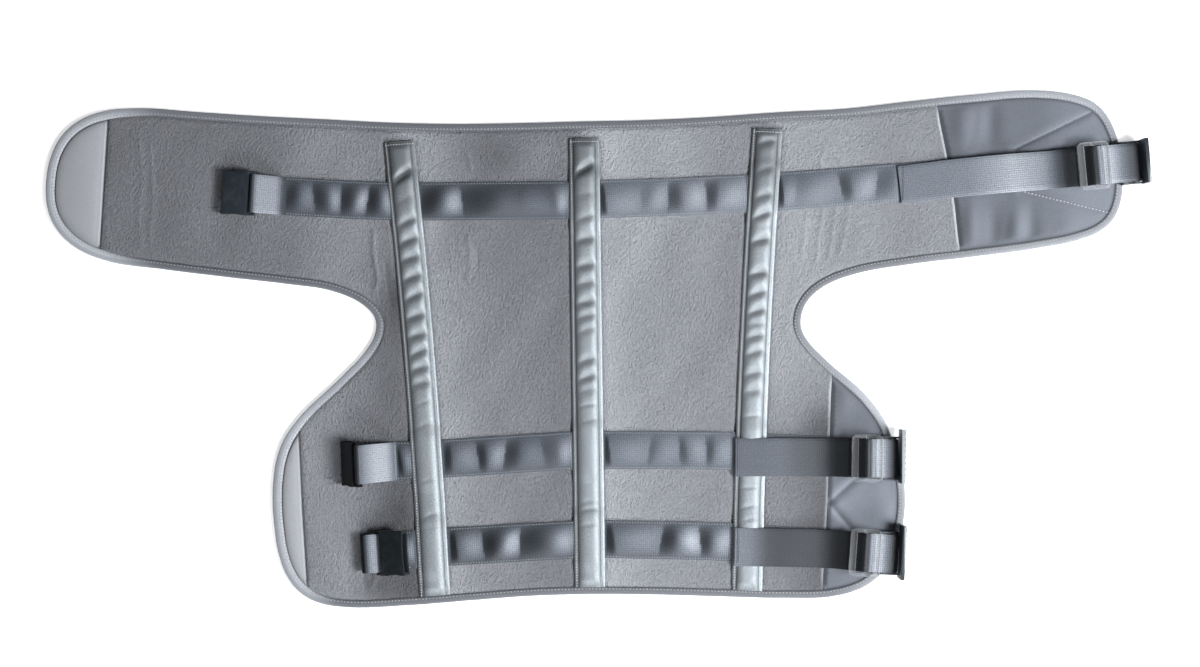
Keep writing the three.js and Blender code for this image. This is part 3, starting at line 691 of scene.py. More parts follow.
tabForm = {
    "base": 5.3, "thick": 1.4, "inset": 10.2, "spacing": 3.6, "sunk": 0.1, "rimRows": (0.9, 2.2),
    "seamRows": (0.8, 1.8, 3.2, 4.6), "edgeDrop": 0.75, "edgeReach": 1.6, "sewnAt": (0.45, 3.2, 1.2),
    "swell": 0.22, "swellFrom": (4, 14), "waveLong": 70.0, "seed": 5,
    "waist": planLine([(-490, 250), (-501, 74)]),
    "thigh": planLine([(-302, -50), (-297, -160), (-290, -270)]),
}
tabSeams = tabForm["waist"], tabForm["thigh"]
panelForm = {
    "thick": 5.0, "inset": 2.0, "rimTop": 3.5, "rimLow": 1.4, "rimFrom": 7.2, "rimTo": 10.6, "spacing": 3.7,
    "rimRows": (7.0, 8.4, 9.6, 11.2), "lipRows": (0.9, 2.0, 3.4), "grooveRows": (0.2, 1.2, 2.6),
    "tabRows": (-0.6, 0.9, 2.4), "tabStep": 2.4, "creaseStep": 2.0, "creaseSide": 0.8,
    "flatFrom": (10, 26), "swell": 0.45, "waveLong": 95.0, "seed": 11, "lip": (0.35, 3.2, 2.0), "edgeDrop": 1.7,
    "dropReach": 2.2, "stayGroove": 0.8, "grooveAt": 0.9,
    "waistSeam": planLine([(333, 268), (349, 190), (356, 145), (363, 78)]),
    "thighSeam": planLine([(234, 10), (229, -153), (222, -268)]),
}
padSides = panelForm["waistSeam"], panelForm["thighSeam"]
padForm = {"thick": 4.0, "spacing": 2.7, "seamGap": 0.3, "lipRows": (1.2, 2.6), "seamRows": (0, -0.8, 0.8, -1.8, 1.8),
           "flatFrom": (9, 16), "edgeDrop": 1.5, "dropReach": 4.5, "sewnFrom": (7.6, 10.0), "puff": (0.4, 7, 5.0),
           "seamStep": 2.0, "heldNear": 3.0}
velourCreases = [  # plan line in mm, height of the ridge, half width
    ([(-225, 118), (-226, 96), (-221, 68), (-227, 52)], 0.6, 1.8),
    ([(-214, 87), (-211, 60), (-209, 43)], -0.4, 2.0),
    ([(-215, 218), (-214, 207)], -0.6, 1.4),
    ([(-460, 208), (-456, 170), (-461, 130), (-457, 100)], 0.28, 2.4),
    ([(-449, 200), (-446, 150), (-450, 110)], 0.3, 2.2),
    ([(-131, 112), (-129, 92), (-131, 70)], 0.3, 1.6),
    ([(-122, 100), (-121, 82)], -0.2, 1.6),
    ([(-131, 194), (-128, 180)], 0.3, 1.6),
    ([(-226, -212), (-224, -228), (-229, -244)], 0.5, 2.0),
    ([(-236, -222), (-234, -244)], -0.4, 2.0),
    ([(208, 138), (205, 112), (202, 92)], 0.22, 1.8),
    ([(224, 140), (220, 112), (217, 88)], 0.3, 1.7),
    ([(237, 142), (233, 116), (230, 92)], 0.3, 1.7),
    ([(250, 144), (246, 118), (241, 96)], 0.25, 1.9),
    ([(226, 200), (221, 188), (223, 178)], 0.25, 1.7),
]
padSeams = [  # sewn lines in the pads: plan line, depth, half width
    ([(500, 240), (417, 200)], 0.8, 1.5),
    ([(423, 158), (511, 136)], 0.8, 1.3),
    ([(230, -154), (254, -132), (278, -110)], 0.9, 2.8),
    ([(230, -154), (252, -180), (272, -203)], 0.9, 2.8),
]
padDents = [  # soft dents in the pads, or swells where the depth is negative: middle, half sizes, depth
    ((364, 224), (12, 30), -2.0), ((392, 226), (9, 26), 1.5), ((446, 226), (18, 18), -0.6), ((372, 122), (9, 26), -1.9),
    ((394, 118), (8, 24), 1.2), ((417, 120), (9, 24), -1.9), ((433, 118), (8, 22), 1.2), ((468, 122), (12, 16), -0.8),
    ((285, -66), (15, 18), 1.2), ((246, -44), (9, 22), -1.0), ((286, -160), (14, 18), -1.2),
    ((262, -232), (14, 12), 0.5), ((292, -140), (9, 12), 0.7),
]
waveForm = {"count": 9, "turn": 0.7, "shortest": 0.4, "share": 3.0}


def rollingWaves(points, seed, longest, height):
    dice = np.random.default_rng(seed)
    total = np.zeros(len(points))
    for k in range(waveForm["count"]):
        angle = dice.uniform(-waveForm["turn"], waveForm["turn"])
        size = longest * dice.uniform(waveForm["shortest"], 1.0)
        phase = dice.uniform(0, 2 * math.pi)
        along = points[:, 0] * math.cos(angle) + points[:, 1] * math.sin(angle)
        total += np.sin(2 * math.pi / size * along + phase) * size / longest
    return height * total / waveForm["share"]


def rimHeights(depth, thick):
    rise = smoothstep(panelForm["rimFrom"], panelForm["rimTo"], depth)
    return panelForm["rimTop"] + (thick - panelForm["rimTop"]) * rise, panelForm["rimLow"] * (1 - rise)


def panelTop(points, depth):
    form = panelForm
    top, low = rimHeights(depth, form["thick"])
    flat = smoothstep(*form["flatFrom"], depth)
    top = top + flat * rollingWaves(points, form["seed"], form["waveLong"], form["swell"])
    for line, rise, half in velourCreases:
        top += flat * rise * bump(lineDistance(points, planLine(line)), 0, half)
    rise, riseAt, riseWide = form["lip"]
    for seam in padSides:
        gap = lineDistance(points, seam)
        top += rise * bump(gap, riseAt, riseWide) * flat
        top -= form["edgeDrop"] * (1 - smoothstep(0.0, form["dropReach"], gap)) * flat
    top -= form["stayGroove"] * bump(stayGap(points), form["grooveAt"], form["grooveAt"])
    return top, low


def padTop(points, depth, seam):
    top, low = rimHeights(depth, padForm["thick"])
    flat = smoothstep(*padForm["flatFrom"], depth)
    top = top - padForm["edgeDrop"] * (1 - smoothstep(0.0, padForm["dropReach"], lineDistance(points, seam))) * flat
    sewn = smoothstep(*padForm["sewnFrom"], depth)
    puff, puffAt, puffWide = padForm["puff"]
    for line, sink, half in padSeams:
        away = lineDistance(points, planLine(line))
        top -= sewn * sink * bump(away, 0, half) - flat * puff * bump(away, puffAt, puffWide)
    for middle, half, sink in padDents:
        spread = (points - planLine([middle])[0]) / np.array(half)
        top -= flat * sink * np.exp(-np.sum(spread ** 2, 1))
    return top, low


def buildPanel():
    form, step = panelForm, outlineForm["seamStep"]
    rest = splitRing(insetRing(form["inset"]), form["waistSeam"], 1)[1]
    border = splitRing(rest, form["thighSeam"], 1)[1]
    rows = [insetRing(depth) for depth in form["rimRows"]]
    rows += [evenLine(seam, step) - (out, 0) for seam in padSides for out in form["lipRows"]]
    for away in form["grooveRows"]:
        rows += stayEdges(away)
    rows += [evenLine(seam, form["tabStep"]) + (out, 0) for seam in tabSeams for out in form["tabRows"]]
    for line, rise, half in velourCreases:
        stretch = evenLine(planLine(line), form["creaseStep"])
        rows += [stretch + (side * half * form["creaseSide"], 0) for side in (-1, 0, 1)]
    plan, triangles = planMesh(border, rows, form["spacing"])
    top, low = panelTop(plan, depthAt(plan))
    piece = closedPad("velourPanel", plan, triangles, top, low, finish["velour"])
    settle(piece, "velour", "panel")
    return piece


def buildPad(name, node, seam):
    form = padForm
    shifted = seam + (form["seamGap"], 0)
    border = splitRing(insetRing(panelForm["inset"]), shifted, 1)[0]
    rows = [insetRing(depth) for depth in panelForm["rimRows"]]
    rows += [evenLine(shifted, outlineForm["seamStep"]) + (out, 0) for out in form["lipRows"]]
    for line, sink, half in padSeams:
        stretch = evenLine(planLine(line), form["seamStep"])
        rows += [stretch + (0, side * half) for side in form["seamRows"]]
    plan, triangles = planMesh(border, rows, form["spacing"])
    depth = depthAt(plan)
    top, low = padTop(plan, depth, seam)
    piece = closedPad(name, plan, triangles, top, low, finish["smoothCloth"])
    sewn = [lineDistance(plan, line) for line in [planLine(row[0]) for row in padSeams] + [seam]]
    held = (np.minimum.reduce(sewn) < form["heldNear"]) | (depth < panelForm["rimTo"])
    plumpPadding(piece, np.r_[held, np.ones(len(plan), bool)])
    settle(piece, "smooth_cloth", node)
    return piece


velourPanel = buildPanel()
waistPad = buildPad("waistEndPad", "waist_pad", panelForm["waistSeam"])
thighPad = buildPad("thighEndPad", "thigh_pad", panelForm["thighSeam"])
print("panel and pads:", [len(p.data.polygons) for p in (velourPanel, waistPad, thighPad)], "faces")


# pale tabs sewn on the panel's other ends

def buildTab(name, node, seam):
    form = tabForm
    border = splitRing(insetRing(form["inset"]), seam, -1)[0]
    rows = [insetRing(form["inset"] + depth) for depth in form["rimRows"]]
    rows += [evenLine(seam, outlineForm["seamStep"]) - (out, 0) for out in form["seamRows"]]
    plan, triangles = planMesh(border, rows, form["spacing"])
    sewn = lineDistance(plan, seam)
    edge = np.minimum(depthAt(plan) - form["inset"], sewn)
    rounding = 1 - form["edgeDrop"] * (1 - smoothstep(0.0, form["edgeReach"], edge))
    sink, sinkAt, sinkWide = form["sewnAt"]
    top = form["base"] + form["thick"] * rounding - sink * bump(sewn, sinkAt, sinkWide)
    top += smoothstep(*form["swellFrom"], edge) * rollingWaves(plan, form["seed"], form["waveLong"], form["swell"])
    low = np.full(len(plan), form["base"] - form["sunk"])
    piece = closedPad(name, plan, triangles, top, low, finish["paleCloth"])
    settle(piece, "pale_cloth", node)
    return piece


waistTab = buildTab("waistTab", "waist_tab", tabForm["waist"])
thighTab = buildTab("thighTab", "thigh_tab", tabForm["thigh"])
print("tabs laid on the panel")


# node trees that sweep tapes and lay stitches along lines

def newTree(name, sockets):
    tree = bpy.data.node_groups.new(name, "GeometryNodeTree")
    tree.interface.new_socket("Line", in_out="INPUT", socket_type="NodeSocketGeometry")
    for label, kind in sockets:
        tree.interface.new_socket(label, in_out="INPUT", socket_type=kind)
    tree.interface.new_socket("Geometry", in_out="OUTPUT", socket_type="NodeSocketGeometry")
    return tree, tree.nodes.new("NodeGroupInput").outputs, tree.nodes.new("NodeGroupOutput").inputs


def makeTapeSweep():
    tree, given, result = newTree("tapeSweep", [("Profile", "NodeSocketObject"), ("Finish", "NodeSocketMaterial")])
    path = addNode(tree, "GeometryNodeMeshToCurve", {"Mesh": given["Line"]}).outputs[0]
    path = addNode(tree, "GeometryNodeSetCurveNormal", {"Curve": path}, mode="Z_UP").outputs[0]
    shape = addNode(tree, "GeometryNodeObjectInfo", {"Object": given["Profile"]}).outputs["Geometry"]
    shape = addNode(tree, "GeometryNodeMeshToCurve", {"Mesh": shape}).outputs[0]
    lengths = [addNode(tree, "GeometryNodeSplineParameter").outputs["Length"] for k in range(2)]
    marked = []
    for curve, length, label in zip((path, shape), lengths, ("along", "across")):
        keep = addNode(tree, "GeometryNodeCaptureAttribute")
        keep.capture_items.new("FLOAT", label)
        tree.links.new(curve, keep.inputs["Geometry"])
        tree.links.new(length, keep.inputs[label])
        marked.append(keep)
    swept = addNode(tree, "GeometryNodeCurveToMesh", {"Curve": marked[0].outputs[0],
                                                      "Profile Curve": marked[1].outputs[0]})
    flat = addNode(tree, "ShaderNodeCombineXYZ", {"X": marked[0].outputs["along"], "Y": marked[1].outputs["across"]})
    stored = addNode(tree, "GeometryNodeStoreNamedAttribute", {"Geometry": swept.outputs[0], "Name": "UVMap"},
                     data_type="FLOAT2", domain="CORNER")
    tree.links.new(flat.outputs[0], stored.inputs["Value"])
    solid = addNode(tree, "GeometryNodeSetShadeSmooth", {0: stored.outputs[0]}).outputs[0]
    solid = addNode(tree, "GeometryNodeRealizeInstances", {0: solid}).outputs[0]
    coated = addNode(tree, "GeometryNodeSetMaterial", {"Geometry": solid, "Material": given["Finish"]})
    tree.links.new(coated.outputs[0], result["Geometry"])
    return tree


def makeStitchRow():
    floats = ("Pitch", "Long", "Wide", "Tall", "Slant", "Waver")
    sockets = [(label, "NodeSocketFloat") for label in floats]
    tree, given, result = newTree("stitchRow", sockets + [("Seed", "NodeSocketInt"), ("Finish", "NodeSocketMaterial")])
    path = addNode(tree, "GeometryNodeMeshToCurve", {"Mesh": given["Line"]}).outputs[0]
    spots = addNode(tree, "GeometryNodeCurveToPoints", {"Curve": path, "Length": given["Pitch"]}, mode="LENGTH")
    turn = addNode(tree, "FunctionNodeAlignRotationToVector", {"Vector": spots.outputs["Tangent"]}, axis="X")
    odd = sums(tree, "MODULO", addNode(tree, "GeometryNodeInputIndex").outputs[0], 2.0)
    side = sums(tree, "MULTIPLY_ADD", odd, 2.0, -1.0)
    loose = addNode(tree, "FunctionNodeRandomValue", {2: -1.0, 3: 1.0, "Seed": given["Seed"]},
                    data_type="FLOAT").outputs[1]
    swing = sums(tree, "MULTIPLY_ADD", side, given["Slant"], sums(tree, "MULTIPLY", loose, given["Waver"]))
    swung = addNode(tree, "FunctionNodeAxisAngleToRotation", {"Axis": (0, 0, 1), "Angle": swing}).outputs[0]
    facing = addNode(tree, "FunctionNodeRotateRotation", {"Rotation": turn.outputs[0], "Rotate By": swung},
                     rotation_space="LOCAL").outputs[0]
    grain = addNode(tree, "GeometryNodeMeshUVSphere", {"Segments": 6, "Rings": 4, "Radius": 0.5}).outputs[0]
    size = addNode(tree, "ShaderNodeCombineXYZ", {"X": given["Long"], "Y": given["Wide"], "Z": given["Tall"]})
    laid = addNode(tree, "GeometryNodeInstanceOnPoints", {"Points": spots.outputs["Points"], "Instance": grain,
                                                          "Rotation": facing, "Scale": size.outputs[0]})
    solid = addNode(tree, "GeometryNodeRealizeInstances", {0: laid.outputs[0]}).outputs[0]
    solid = addNode(tree, "GeometryNodeSetShadeSmooth", {0: solid}).outputs[0]
    coated = addNode(tree, "GeometryNodeSetMaterial", {"Geometry": solid, "Material": given["Finish"]})
    tree.links.new(coated.outputs[0], result["Geometry"])
    return tree


def lineObject(name, lines, cyclic=False):
    verts, edges = [], []
    for line in lines:
        start = len(verts)
        verts += [tuple(np.asarray(p) * mm) for p in line]
        edges += [(start + k, start + k + 1) for k in range(len(line) - 1)]
        if cyclic:
            edges.append((len(verts) - 1, start))
    mesh = bpy.data.meshes.new(name)
    mesh.from_pydata(verts, edges, [])
    made = bpy.data.objects.new(name, mesh)
    scene.collection.objects.link(made)
    return made


def runTree(name, source, tree, values):
    modifier = source.modifiers.new(tree.name, "NODES")
    modifier.node_group = tree
    for item in tree.interface.items_tree:
        if item.in_out == "INPUT" and item.name in values:
            modifier[item.identifier] = values[item.name]
    graph = bpy.context.evaluated_depsgraph_get()
    swept = source.evaluated_get(graph)
    mesh = bpy.data.meshes.new_from_object(swept, preserve_all_data_layers=True, depsgraph=graph)
    mesh.name = name
    source.modifiers.remove(modifier)
    bpy.data.objects.remove(source)
    piece = bpy.data.objects.new(name, mesh)
    scene.collection.objects.link(piece)
    return piece


tapeSweep = makeTapeSweep()
stitchRow = makeStitchRow()
stitchRule = {"waver": 5.0, "seed": 3, "lineStep": 3.0, "proud": 0.15}
padStitches = {
    "zigzag": {"line": [(499, 240), (417, 200)], "pitch": 2.4, "long": 2.4, "wide": 0.9, "tall": 0.9, "slant": 52.0,
               "finish": "darkThread"},
    "dotted": {"line": [(423, 158), (512, 136)], "pitch": 3.6, "long": 1.7, "wide": 1.3, "tall": 0.9, "slant": 0.0,
               "finish": "paleThread"},
}


def sewStitches(name, lines, form, slotName):
    values = {label: form[label.lower()] * mm for label in ("Pitch", "Long", "Wide", "Tall")}
    values.update({"Slant": math.radians(form["slant"]), "Waver": math.radians(stitchRule["waver"]),
                   "Seed": stitchRule["seed"], "Finish": finish[form["finish"]]})
    settle(runTree(name, lineObject(name + "Lines", lines), stitchRow, values), slotName)


for name, form in padStitches.items():
    line = evenLine(planLine(form["line"]), stitchRule["lineStep"])
    sink = padTop(line, depthAt(line), panelForm["waistSeam"])[0]
    sewStitches("waistPad" + name.capitalize(), [np.c_[line, sink + stitchRule["proud"]]], form, "smooth_cloth")


# folded tape round the outline, with its row of stitches

tapeForm = {
    "profile": [  # depth from the edge and height, round the folded tape's section
        (7.4, 0.0), (4.5, 0.0), (2.2, 0.1), (0.9, 0.55), (0.2, 1.4), (0.0, 2.5), (0.1, 3.6), (0.6, 4.5), (1.6, 5.0),
        (3.2, 5.25), (5.0, 5.2), (6.2, 4.95), (7.4, 4.7), (7.6, 4.3), (7.4, 3.95), (5.0, 4.0), (2.4, 3.9), (1.4, 3.2),
        (1.2, 2.5), (1.4, 1.8), (2.4, 1.1), (5.0, 1.0), (7.4, 1.0), (7.6, 0.5),
    ],
    "rows": {  # stitches, and dark grains inside them as painted shade of the needle holes: depth from the edge and height, then sizes
        "Stitches": {"depth": 5.7, "rise": 5.1, "pitch": 3.4, "long": 1.8, "wide": 1.2, "tall": 0.8, "slant": 14.0,
                     "finish": "thread"},
        "Holes": {"depth": 7.0, "rise": 4.75, "pitch": 3.4, "long": 1.3, "wide": 0.7, "tall": 0.4, "slant": 14.0,
                  "finish": "darkThread"},
    },
    "waistLeft": (430, 500), "waistRight": (300, 430), "thighRight": ((235, 290), (0, 40)),
    "thighLeft": ((250, 300), (40, 110)), "scoopBand": ((-50, 5), (60, 120)), "scoopFrom": ((205, 235), (185, 215)),
    "endTones": (2.7, 0.62, 2.1),  # how much paler the tape is at the waist's left, the right and the thigh's left
    "scoopTones": (1.1, 0.6), "endOuter": 0.32, "endOuterTo": (2.6, 5.2), "outerTone": 0.3, "outerTo": (0.3, 2.4),
    "farTone": 0.3, "farFrom": (180, 340), "farFacing": (0.2, 0.9),
    "endWider": 2.0, "widerFrom": 3.0, "widerReach": 4.6, "endTaller": 0.5, "rowTaller": 0.2, "upperFrom": 3.0,
}


def tapeEnds(plan):  # how far a spot belongs to the waist's left end, the right ends and the thigh's left end
    x, y = plan[:, 0], plan[:, 1]
    sides, lower = tapeForm["thighRight"]
    right = np.maximum(smoothstep(*tapeForm["waistRight"], x), smoothstep(*sides, x) * smoothstep(*lower, -y))
    sides, lower = tapeForm["thighLeft"]
    return smoothstep(*tapeForm["waistLeft"], -x), right, smoothstep(*sides, -x) * smoothstep(*lower, -y)


def toneTape(piece, index, depth, ends):
    form = tapeForm
    tone = 1 + sum(tone * end[index] for tone, end in zip(form["endTones"], ends))
    x, y = outline[index].T
    below, above = form["scoopBand"]
    inScoop = smoothstep(*below, -y) * (1 - smoothstep(*above, -y))
    left, right = smoothstep(*form["scoopFrom"][0], -x), smoothstep(*form["scoopFrom"][1], x)
    tone += inScoop * (form["scoopTones"][0] * left + form["scoopTones"][1] * right)
    pale = np.maximum(ends[0], ends[2])[index]
    outside = pale * (1 - smoothstep(*form["endOuterTo"], depth))
    tone *= 1 - form["endOuter"] * outside  # the two pale ends are darker outside their stitches
    # painted light on the tape's outer edge, which stands in shade
    tone *= 1 + form["outerTone"] * (1 - smoothstep(*form["outerTo"], depth))
    # painted light on the tape along the top, facing away from the lamp
    far = smoothstep(*form["farFacing"], -inward[index, 1]) * smoothstep(*form["farFrom"], np.abs(planOf(piece)[:, 0]))
    storeValues(piece, "toneAndPaintedLight", tone * (1 + form["farTone"] * far * (1 - pale)))


def buildBinding():
    form = tapeForm
    profile = lineObject("tapeProfile", [[(-depth, -z, 0.0) for depth, z in form["profile"]]], cyclic=True)
    path = lineObject("tapePath", [np.c_[outline, np.zeros(len(outline))][::2]], cyclic=True)
    piece = runTree("edgeTape", path, tapeSweep, {"Profile": profile, "Finish": finish["bindingTape"]})
    bpy.data.objects.remove(profile)
    tidyNormals(piece)
    settle(piece, "binding_tape", "edge_binding")
    nearest = [outlineTree.find((x, y, 0)) for x, y in planOf(piece)]
    index, depth = np.array([row[1] for row in nearest]), np.array([row[2] for row in nearest])
    ends = tapeEnds(outline)
    pale = np.maximum(ends[0], ends[2])
    inner = np.clip((depth - form["widerFrom"]) / form["widerReach"], 0, 1) * pale[index]
    toneTape(piece, index, depth, ends)
    spots = spotsOf(piece.data)
    spots[:, :2] += inward[index] * (inner * form["endWider"])[:, None] * mm
    spots[:, 2] += form["endTaller"] * inner * (spots[:, 2] > form["upperFrom"] * mm) * mm
    piece.data.vertices.foreach_set("co", spots.ravel())
    for name, row in form["rows"].items():
        wider = form["endWider"] * (row["depth"] - form["widerFrom"]) / form["widerReach"] * pale
        line = np.c_[outline + inward * (row["depth"] + wider)[:, None], row["rise"] + form["rowTaller"] * wider]
        sewStitches("edgeTape" + name, [np.vstack([line, line[:1]])], row, "binding_tape")
    return piece


edgeTape = buildBinding()
low, high = np.array(edgeTape.bound_box).min(0), np.array(edgeTape.bound_box).max(0)
print("edge tape spans", np.round(low, 4), np.round(high, 4))


# straps: the same lanes, loops and turns as the frame's solids, with gathers sewn between the stays

# slope, loop, window and hook tones paint light and shade onto the webbing
strapForm = {
    "wide": 38.0, "thick": 1.6, "z": 6.1, "turnZ": 11.2, "upperZ": 16.3, "hookGap": 0.4, "step": 1.6, "arcStep": 12.0,
    "sliderLong": 31.0, "sliderBar": 6.5, "arch": 4.2, "archSteps": 24, "droopSteps": 60, "barGap": 1.0, "dipRamp": 9.0,
    "columns": 17, "puffReach": 16.8, "puffPower": 1.1, "rimShare": 0.4, "cusp": 0.55, "lean": 0.17, "leanWave": 0.085,
    "slopeTone": 4.2, "slopePower": 0.9, "toneRange": (0.3, 2.8), "loopClear": 0.5, "loopFade": 0.3, "loopDim": 0.7,
    "barReach": 3.0, "sharp": 50.0,
    "windowTones": [(-8, 0.12), (-1, 0.15), (1, 0.25), (3, 0.45), (4.5, 1.5), (6.5, 3.0), (8.5, 4.2)],
    "hookTones": [(0, 3.6), (0.3, 2.4), (0.55, 1.2), (0.8, 0.5), (1, 0.2)],
}
# loop and tail tones are painted highlight, sheen and shade
strapRows = {  # bays hold how light a stretch is, then its gathers: plan x and height of each crest and valley
    "waist": {
        "node": "waist_strap",
        "sewn": [(-377, 157), (-318, 153), (-210, 147.7), (-104, 148), (-14, 149.2), (149, 155.4), (299, 166.5),
                 (491, 182), (535, 186)],
        "tail": [(300, 163.5), (364, 171), (455, 178.8), (491, 182), (535, 186)],
        "loop": [(-318, 8.7, 0, 0, 0), (-343, 16.5, 3.1, 66, 255), (-316, 6.1, 0, 0, 0)],
        "bays": [
            (1.05, [(-312, 0.5), (-300, 2.1), (-285, 0.4), (-271, 2.3), (-258, 0.2), (-244, 2.4), (-231, 0.1),
                    (-218, 2.5), (-207, 0.8)]),
            (0.95, [(-177, 0.3), (-157, 3.8), (-137, 0.0), (-98, 4.6), (-80, 4.2), (-50, 2.6), (-45, 2.5), (-31, 0.2)]),
            (1.65, [(2, 1.0), (7, 3.2), (42, 1.4), (50, 1.5), (69, 0.2), (84, 2.2), (107, 0.1), (120, 2.1),
                    (147, 0.2)]),
            (1.4, [(180, 1.0), (184, 2.9), (197, 2.2), (204, 2.2), (241, 0.2), (254, 2.0), (277, 0.2), (297, 1.6)])],
        "hookX": 533, "sliderX": 491, "tailZ": 9.2, "dip": (4.6, 31, 19), "hump": (1.5, 0.55, 0.25), "settle": 0.0,
        "loopTone": 2.3, "loopRamp": [(-4, 0), (0, 0.5), (4, 1)],
        "tailTones": [(0, 0.12), (8, 0.14), (12, 0.17), (18, 0.51), (24, 1.2), (30, 1.65), (48, 2.2), (65, 2.75),
                      (89, 2.15), (107, 1.7), (137, 1.58), (175, 1.45)],
        "tacks": [(303, 10.3)],
    },
    "thighUpper": {
        "node": "thigh_strap_upper",
        "sewn": [(-258, -114), (-205, -112), (-156, -109.6), (-26, -101.5), (6, -101), (136, -102.2), (266, -108.3),
                 (294, -108.6)],
        "tail": [(136, -107.8), (231, -107.8), (266, -108.3), (294, -108.6)],
        "loop": [(-205, 10.2, 0, 0, 0), (-236, 34.8, 3.1, 47, 233), (-203, 6.1, 0, 0, 0)],
        "bays": [
            (0.72, [(-201, 0.5), (-196, 1.8), (-186, 0.4)]),
            (1.05, [(-154, 0.6), (-146, 2.5), (-121, 0.2), (-111, 2.2), (-94, 0.2), (-77, 2.5), (-56, 1.4),
                    (-42, 2.1), (-27, 0.3)]),
            (1.3, [(6, 0.8), (11, 2.8), (50, 0.9), (58, 1.3), (80, 0.3), (89, 1.2), (107, 0.2), (116, 1.2),
                   (134, 0.3)])],
        "hookX": 292, "sliderX": 266, "tailZ": 11.6, "dip": (0.0, 20, 10), "hump": (0.0, 0.6, 0.2), "settle": 22.0,
        "loopTone": 2.85, "loopRamp": [(-4, 0), (-1.5, 0.06), (1.5, 0.33), (4.5, 0.65), (7.5, 0.8), (10.5, 0.95),
                                       (13.5, 1.09), (16.5, 1.17)],
        "tailTones": [(0, 0.1), (14, 0.11), (20, 0.16), (26, 0.3), (38, 0.6), (55, 0.77), (67, 1.02), (115, 0.97)],
        "tacks": [(138, 12.7)],
    },
    "thighLower": {
        "node": "thigh_strap_lower",
        "sewn": [(-238, -203.7), (-193, -201), (-150, -197.6), (-23.5, -190.5), (6, -190), (132, -193), (264, -201.8),
                 (294, -203.4)],
        "tail": [(135, -197), (231, -199), (264, -201.8), (294, -203.4)],
        "loop": [(-229, 10.6, 0, 0, 0), (-219.3, 14, 3.1, -95, 95), (-229.5, 12.8, 6.7, 100, 270)],
        "bays": [
            (0.6, [(-214, 0.2), (-194, 2.2), (-185, 0.6)]),
            (0.82, [(-148, 0.6), (-141, 3.4), (-116, 0.0), (-98, 3.8), (-79, 0.0), (-50, 4.2), (-25, 0.2)]),
            (1.08, [(8, 0.6), (16, 3.4), (62, 0.1), (79, 3.4), (101, 0.0), (114, 2.3), (132, 0.2)])],
        "hookX": 292, "sliderX": 264, "tailZ": 11.6, "dip": (0.0, 20, 10), "hump": (1.2, 1.0, 0.14), "settle": 22.0,
        "loopTone": 2.3, "loopRamp": [(-4, 0), (0, 0.5), (4, 1)],
        "tailTones": [(0, 0.1), (10, 0.11), (16, 0.14), (22, 0.23), (34, 0.4), (46, 0.42), (69, 0.36), (81, 0.45),
                      (87, 0.72), (99, 1.2), (112, 1.4)],
        "tacks": [(138, 13.9)],
    },
}
strapStitch = {"pitch": 2.7, "long": 1.7, "wide": 0.9, "tall": 0.7, "slant": 20.0, "finish": "strapThread",
               "reach": 17.4, "proud": 0.1, "clear": 1.0, "step": 3.0}
tackStitch = {"pitch": 1.7, "long": 2.6, "wide": 0.7, "tall": 0.5, "slant": 55.0, "finish": "darkThread",
              "clear": 1.5, "spots": 12}


def laneThrough(rows):
    x = [row[0] for row in rows]
    y = [row[1] for row in rows]
    last = len(rows) - 1
    sides = [(max(i - 1, 0), min(i + 1, last)) for i in range(last + 1)]
    slopes = [(y[b] - y[a]) / (x[b] - x[a]) for a, b in sides]

    def at(spot):
        if spot <= x[0]:
            return y[0] + slopes[0] * (spot - x[0]), slopes[0]
        if spot >= x[last]:
            return y[last] + slopes[last] * (spot - x[last]), slopes[last]
        k = next(i for i in range(last + 1) if x[i] > spot)
        span, rise = x[k] - x[k - 1], y[k] - y[k - 1]
        t = (spot - x[k - 1]) / span
        bend = (1 - t) * (slopes[k - 1] * span - rise) + t * (rise - slopes[k] * span)
        return y[k - 1] + t * rise + t * (1 - t) * bend, slopes[k - 1] + t * (slopes[k] - slopes[k - 1])
    return at


for strap in strapRows.values():
    strap["sewnLane"] = laneThrough(strap["sewn"])
    strap["tailLane"] = laneThrough(strap["tail"])


def bayEnds(bay):
    return bay[1][0][0], bay[1][-1][0]


def bayAt(strap, x):
    return next((bay for bay in strap["bays"] if bayEnds(bay)[0] <= x <= bayEnds(bay)[1]), None)


def gatherRise(strap, x):  # height of a gather and its slope: round over a crest, sharp down in a valley
    for light, knots in strap["bays"]:
        for (x0, z0), (x1, z1) in zip(knots, knots[1:]):
            if x0 <= x <= x1:
                t, turn = (x - x0) / (x1 - x0), math.pi / 2
                soft, softSlope = (1 - math.cos(2 * turn * t)) / 2, turn * math.sin(2 * turn * t)
                sharp = math.sin(turn * t) if z1 > z0 else 1 - math.cos(turn * t)
                sharpSlope = turn * (math.cos(turn * t) if z1 > z0 else math.sin(turn * t))
                share = strapForm["cusp"]
                height, slope = soft + share * (sharp - soft), softSlope + share * (sharpSlope - softSlope)
                return z0 + (z1 - z0) * height, (z1 - z0) * slope / (x1 - x0)
    return 0.0, 0.0


def leaningGather(strap, x, across):
    bay = bayAt(strap, x)
    start, stop = bayEnds(bay) if bay else (x, x)
    lean = strapForm["lean"] * math.sin(strapForm["leanWave"] * x)
    rows = np.array([gatherRise(strap, min(max(x + lean * a, start), stop)) for a in across])
    return rows[:, 0], rows[:, 1]


def arcPoints(row):
    x, z, radius, start, stop = row
    if radius == 0:
        return [(x, z)]
    steps = max(2, int(abs(stop - start) / strapForm["arcStep"]))
    angles = [math.radians(start + (stop - start) * i / steps) for i in range(steps + 1)]
    return [(x + radius * math.cos(a), z + radius * math.sin(a)) for a in angles]


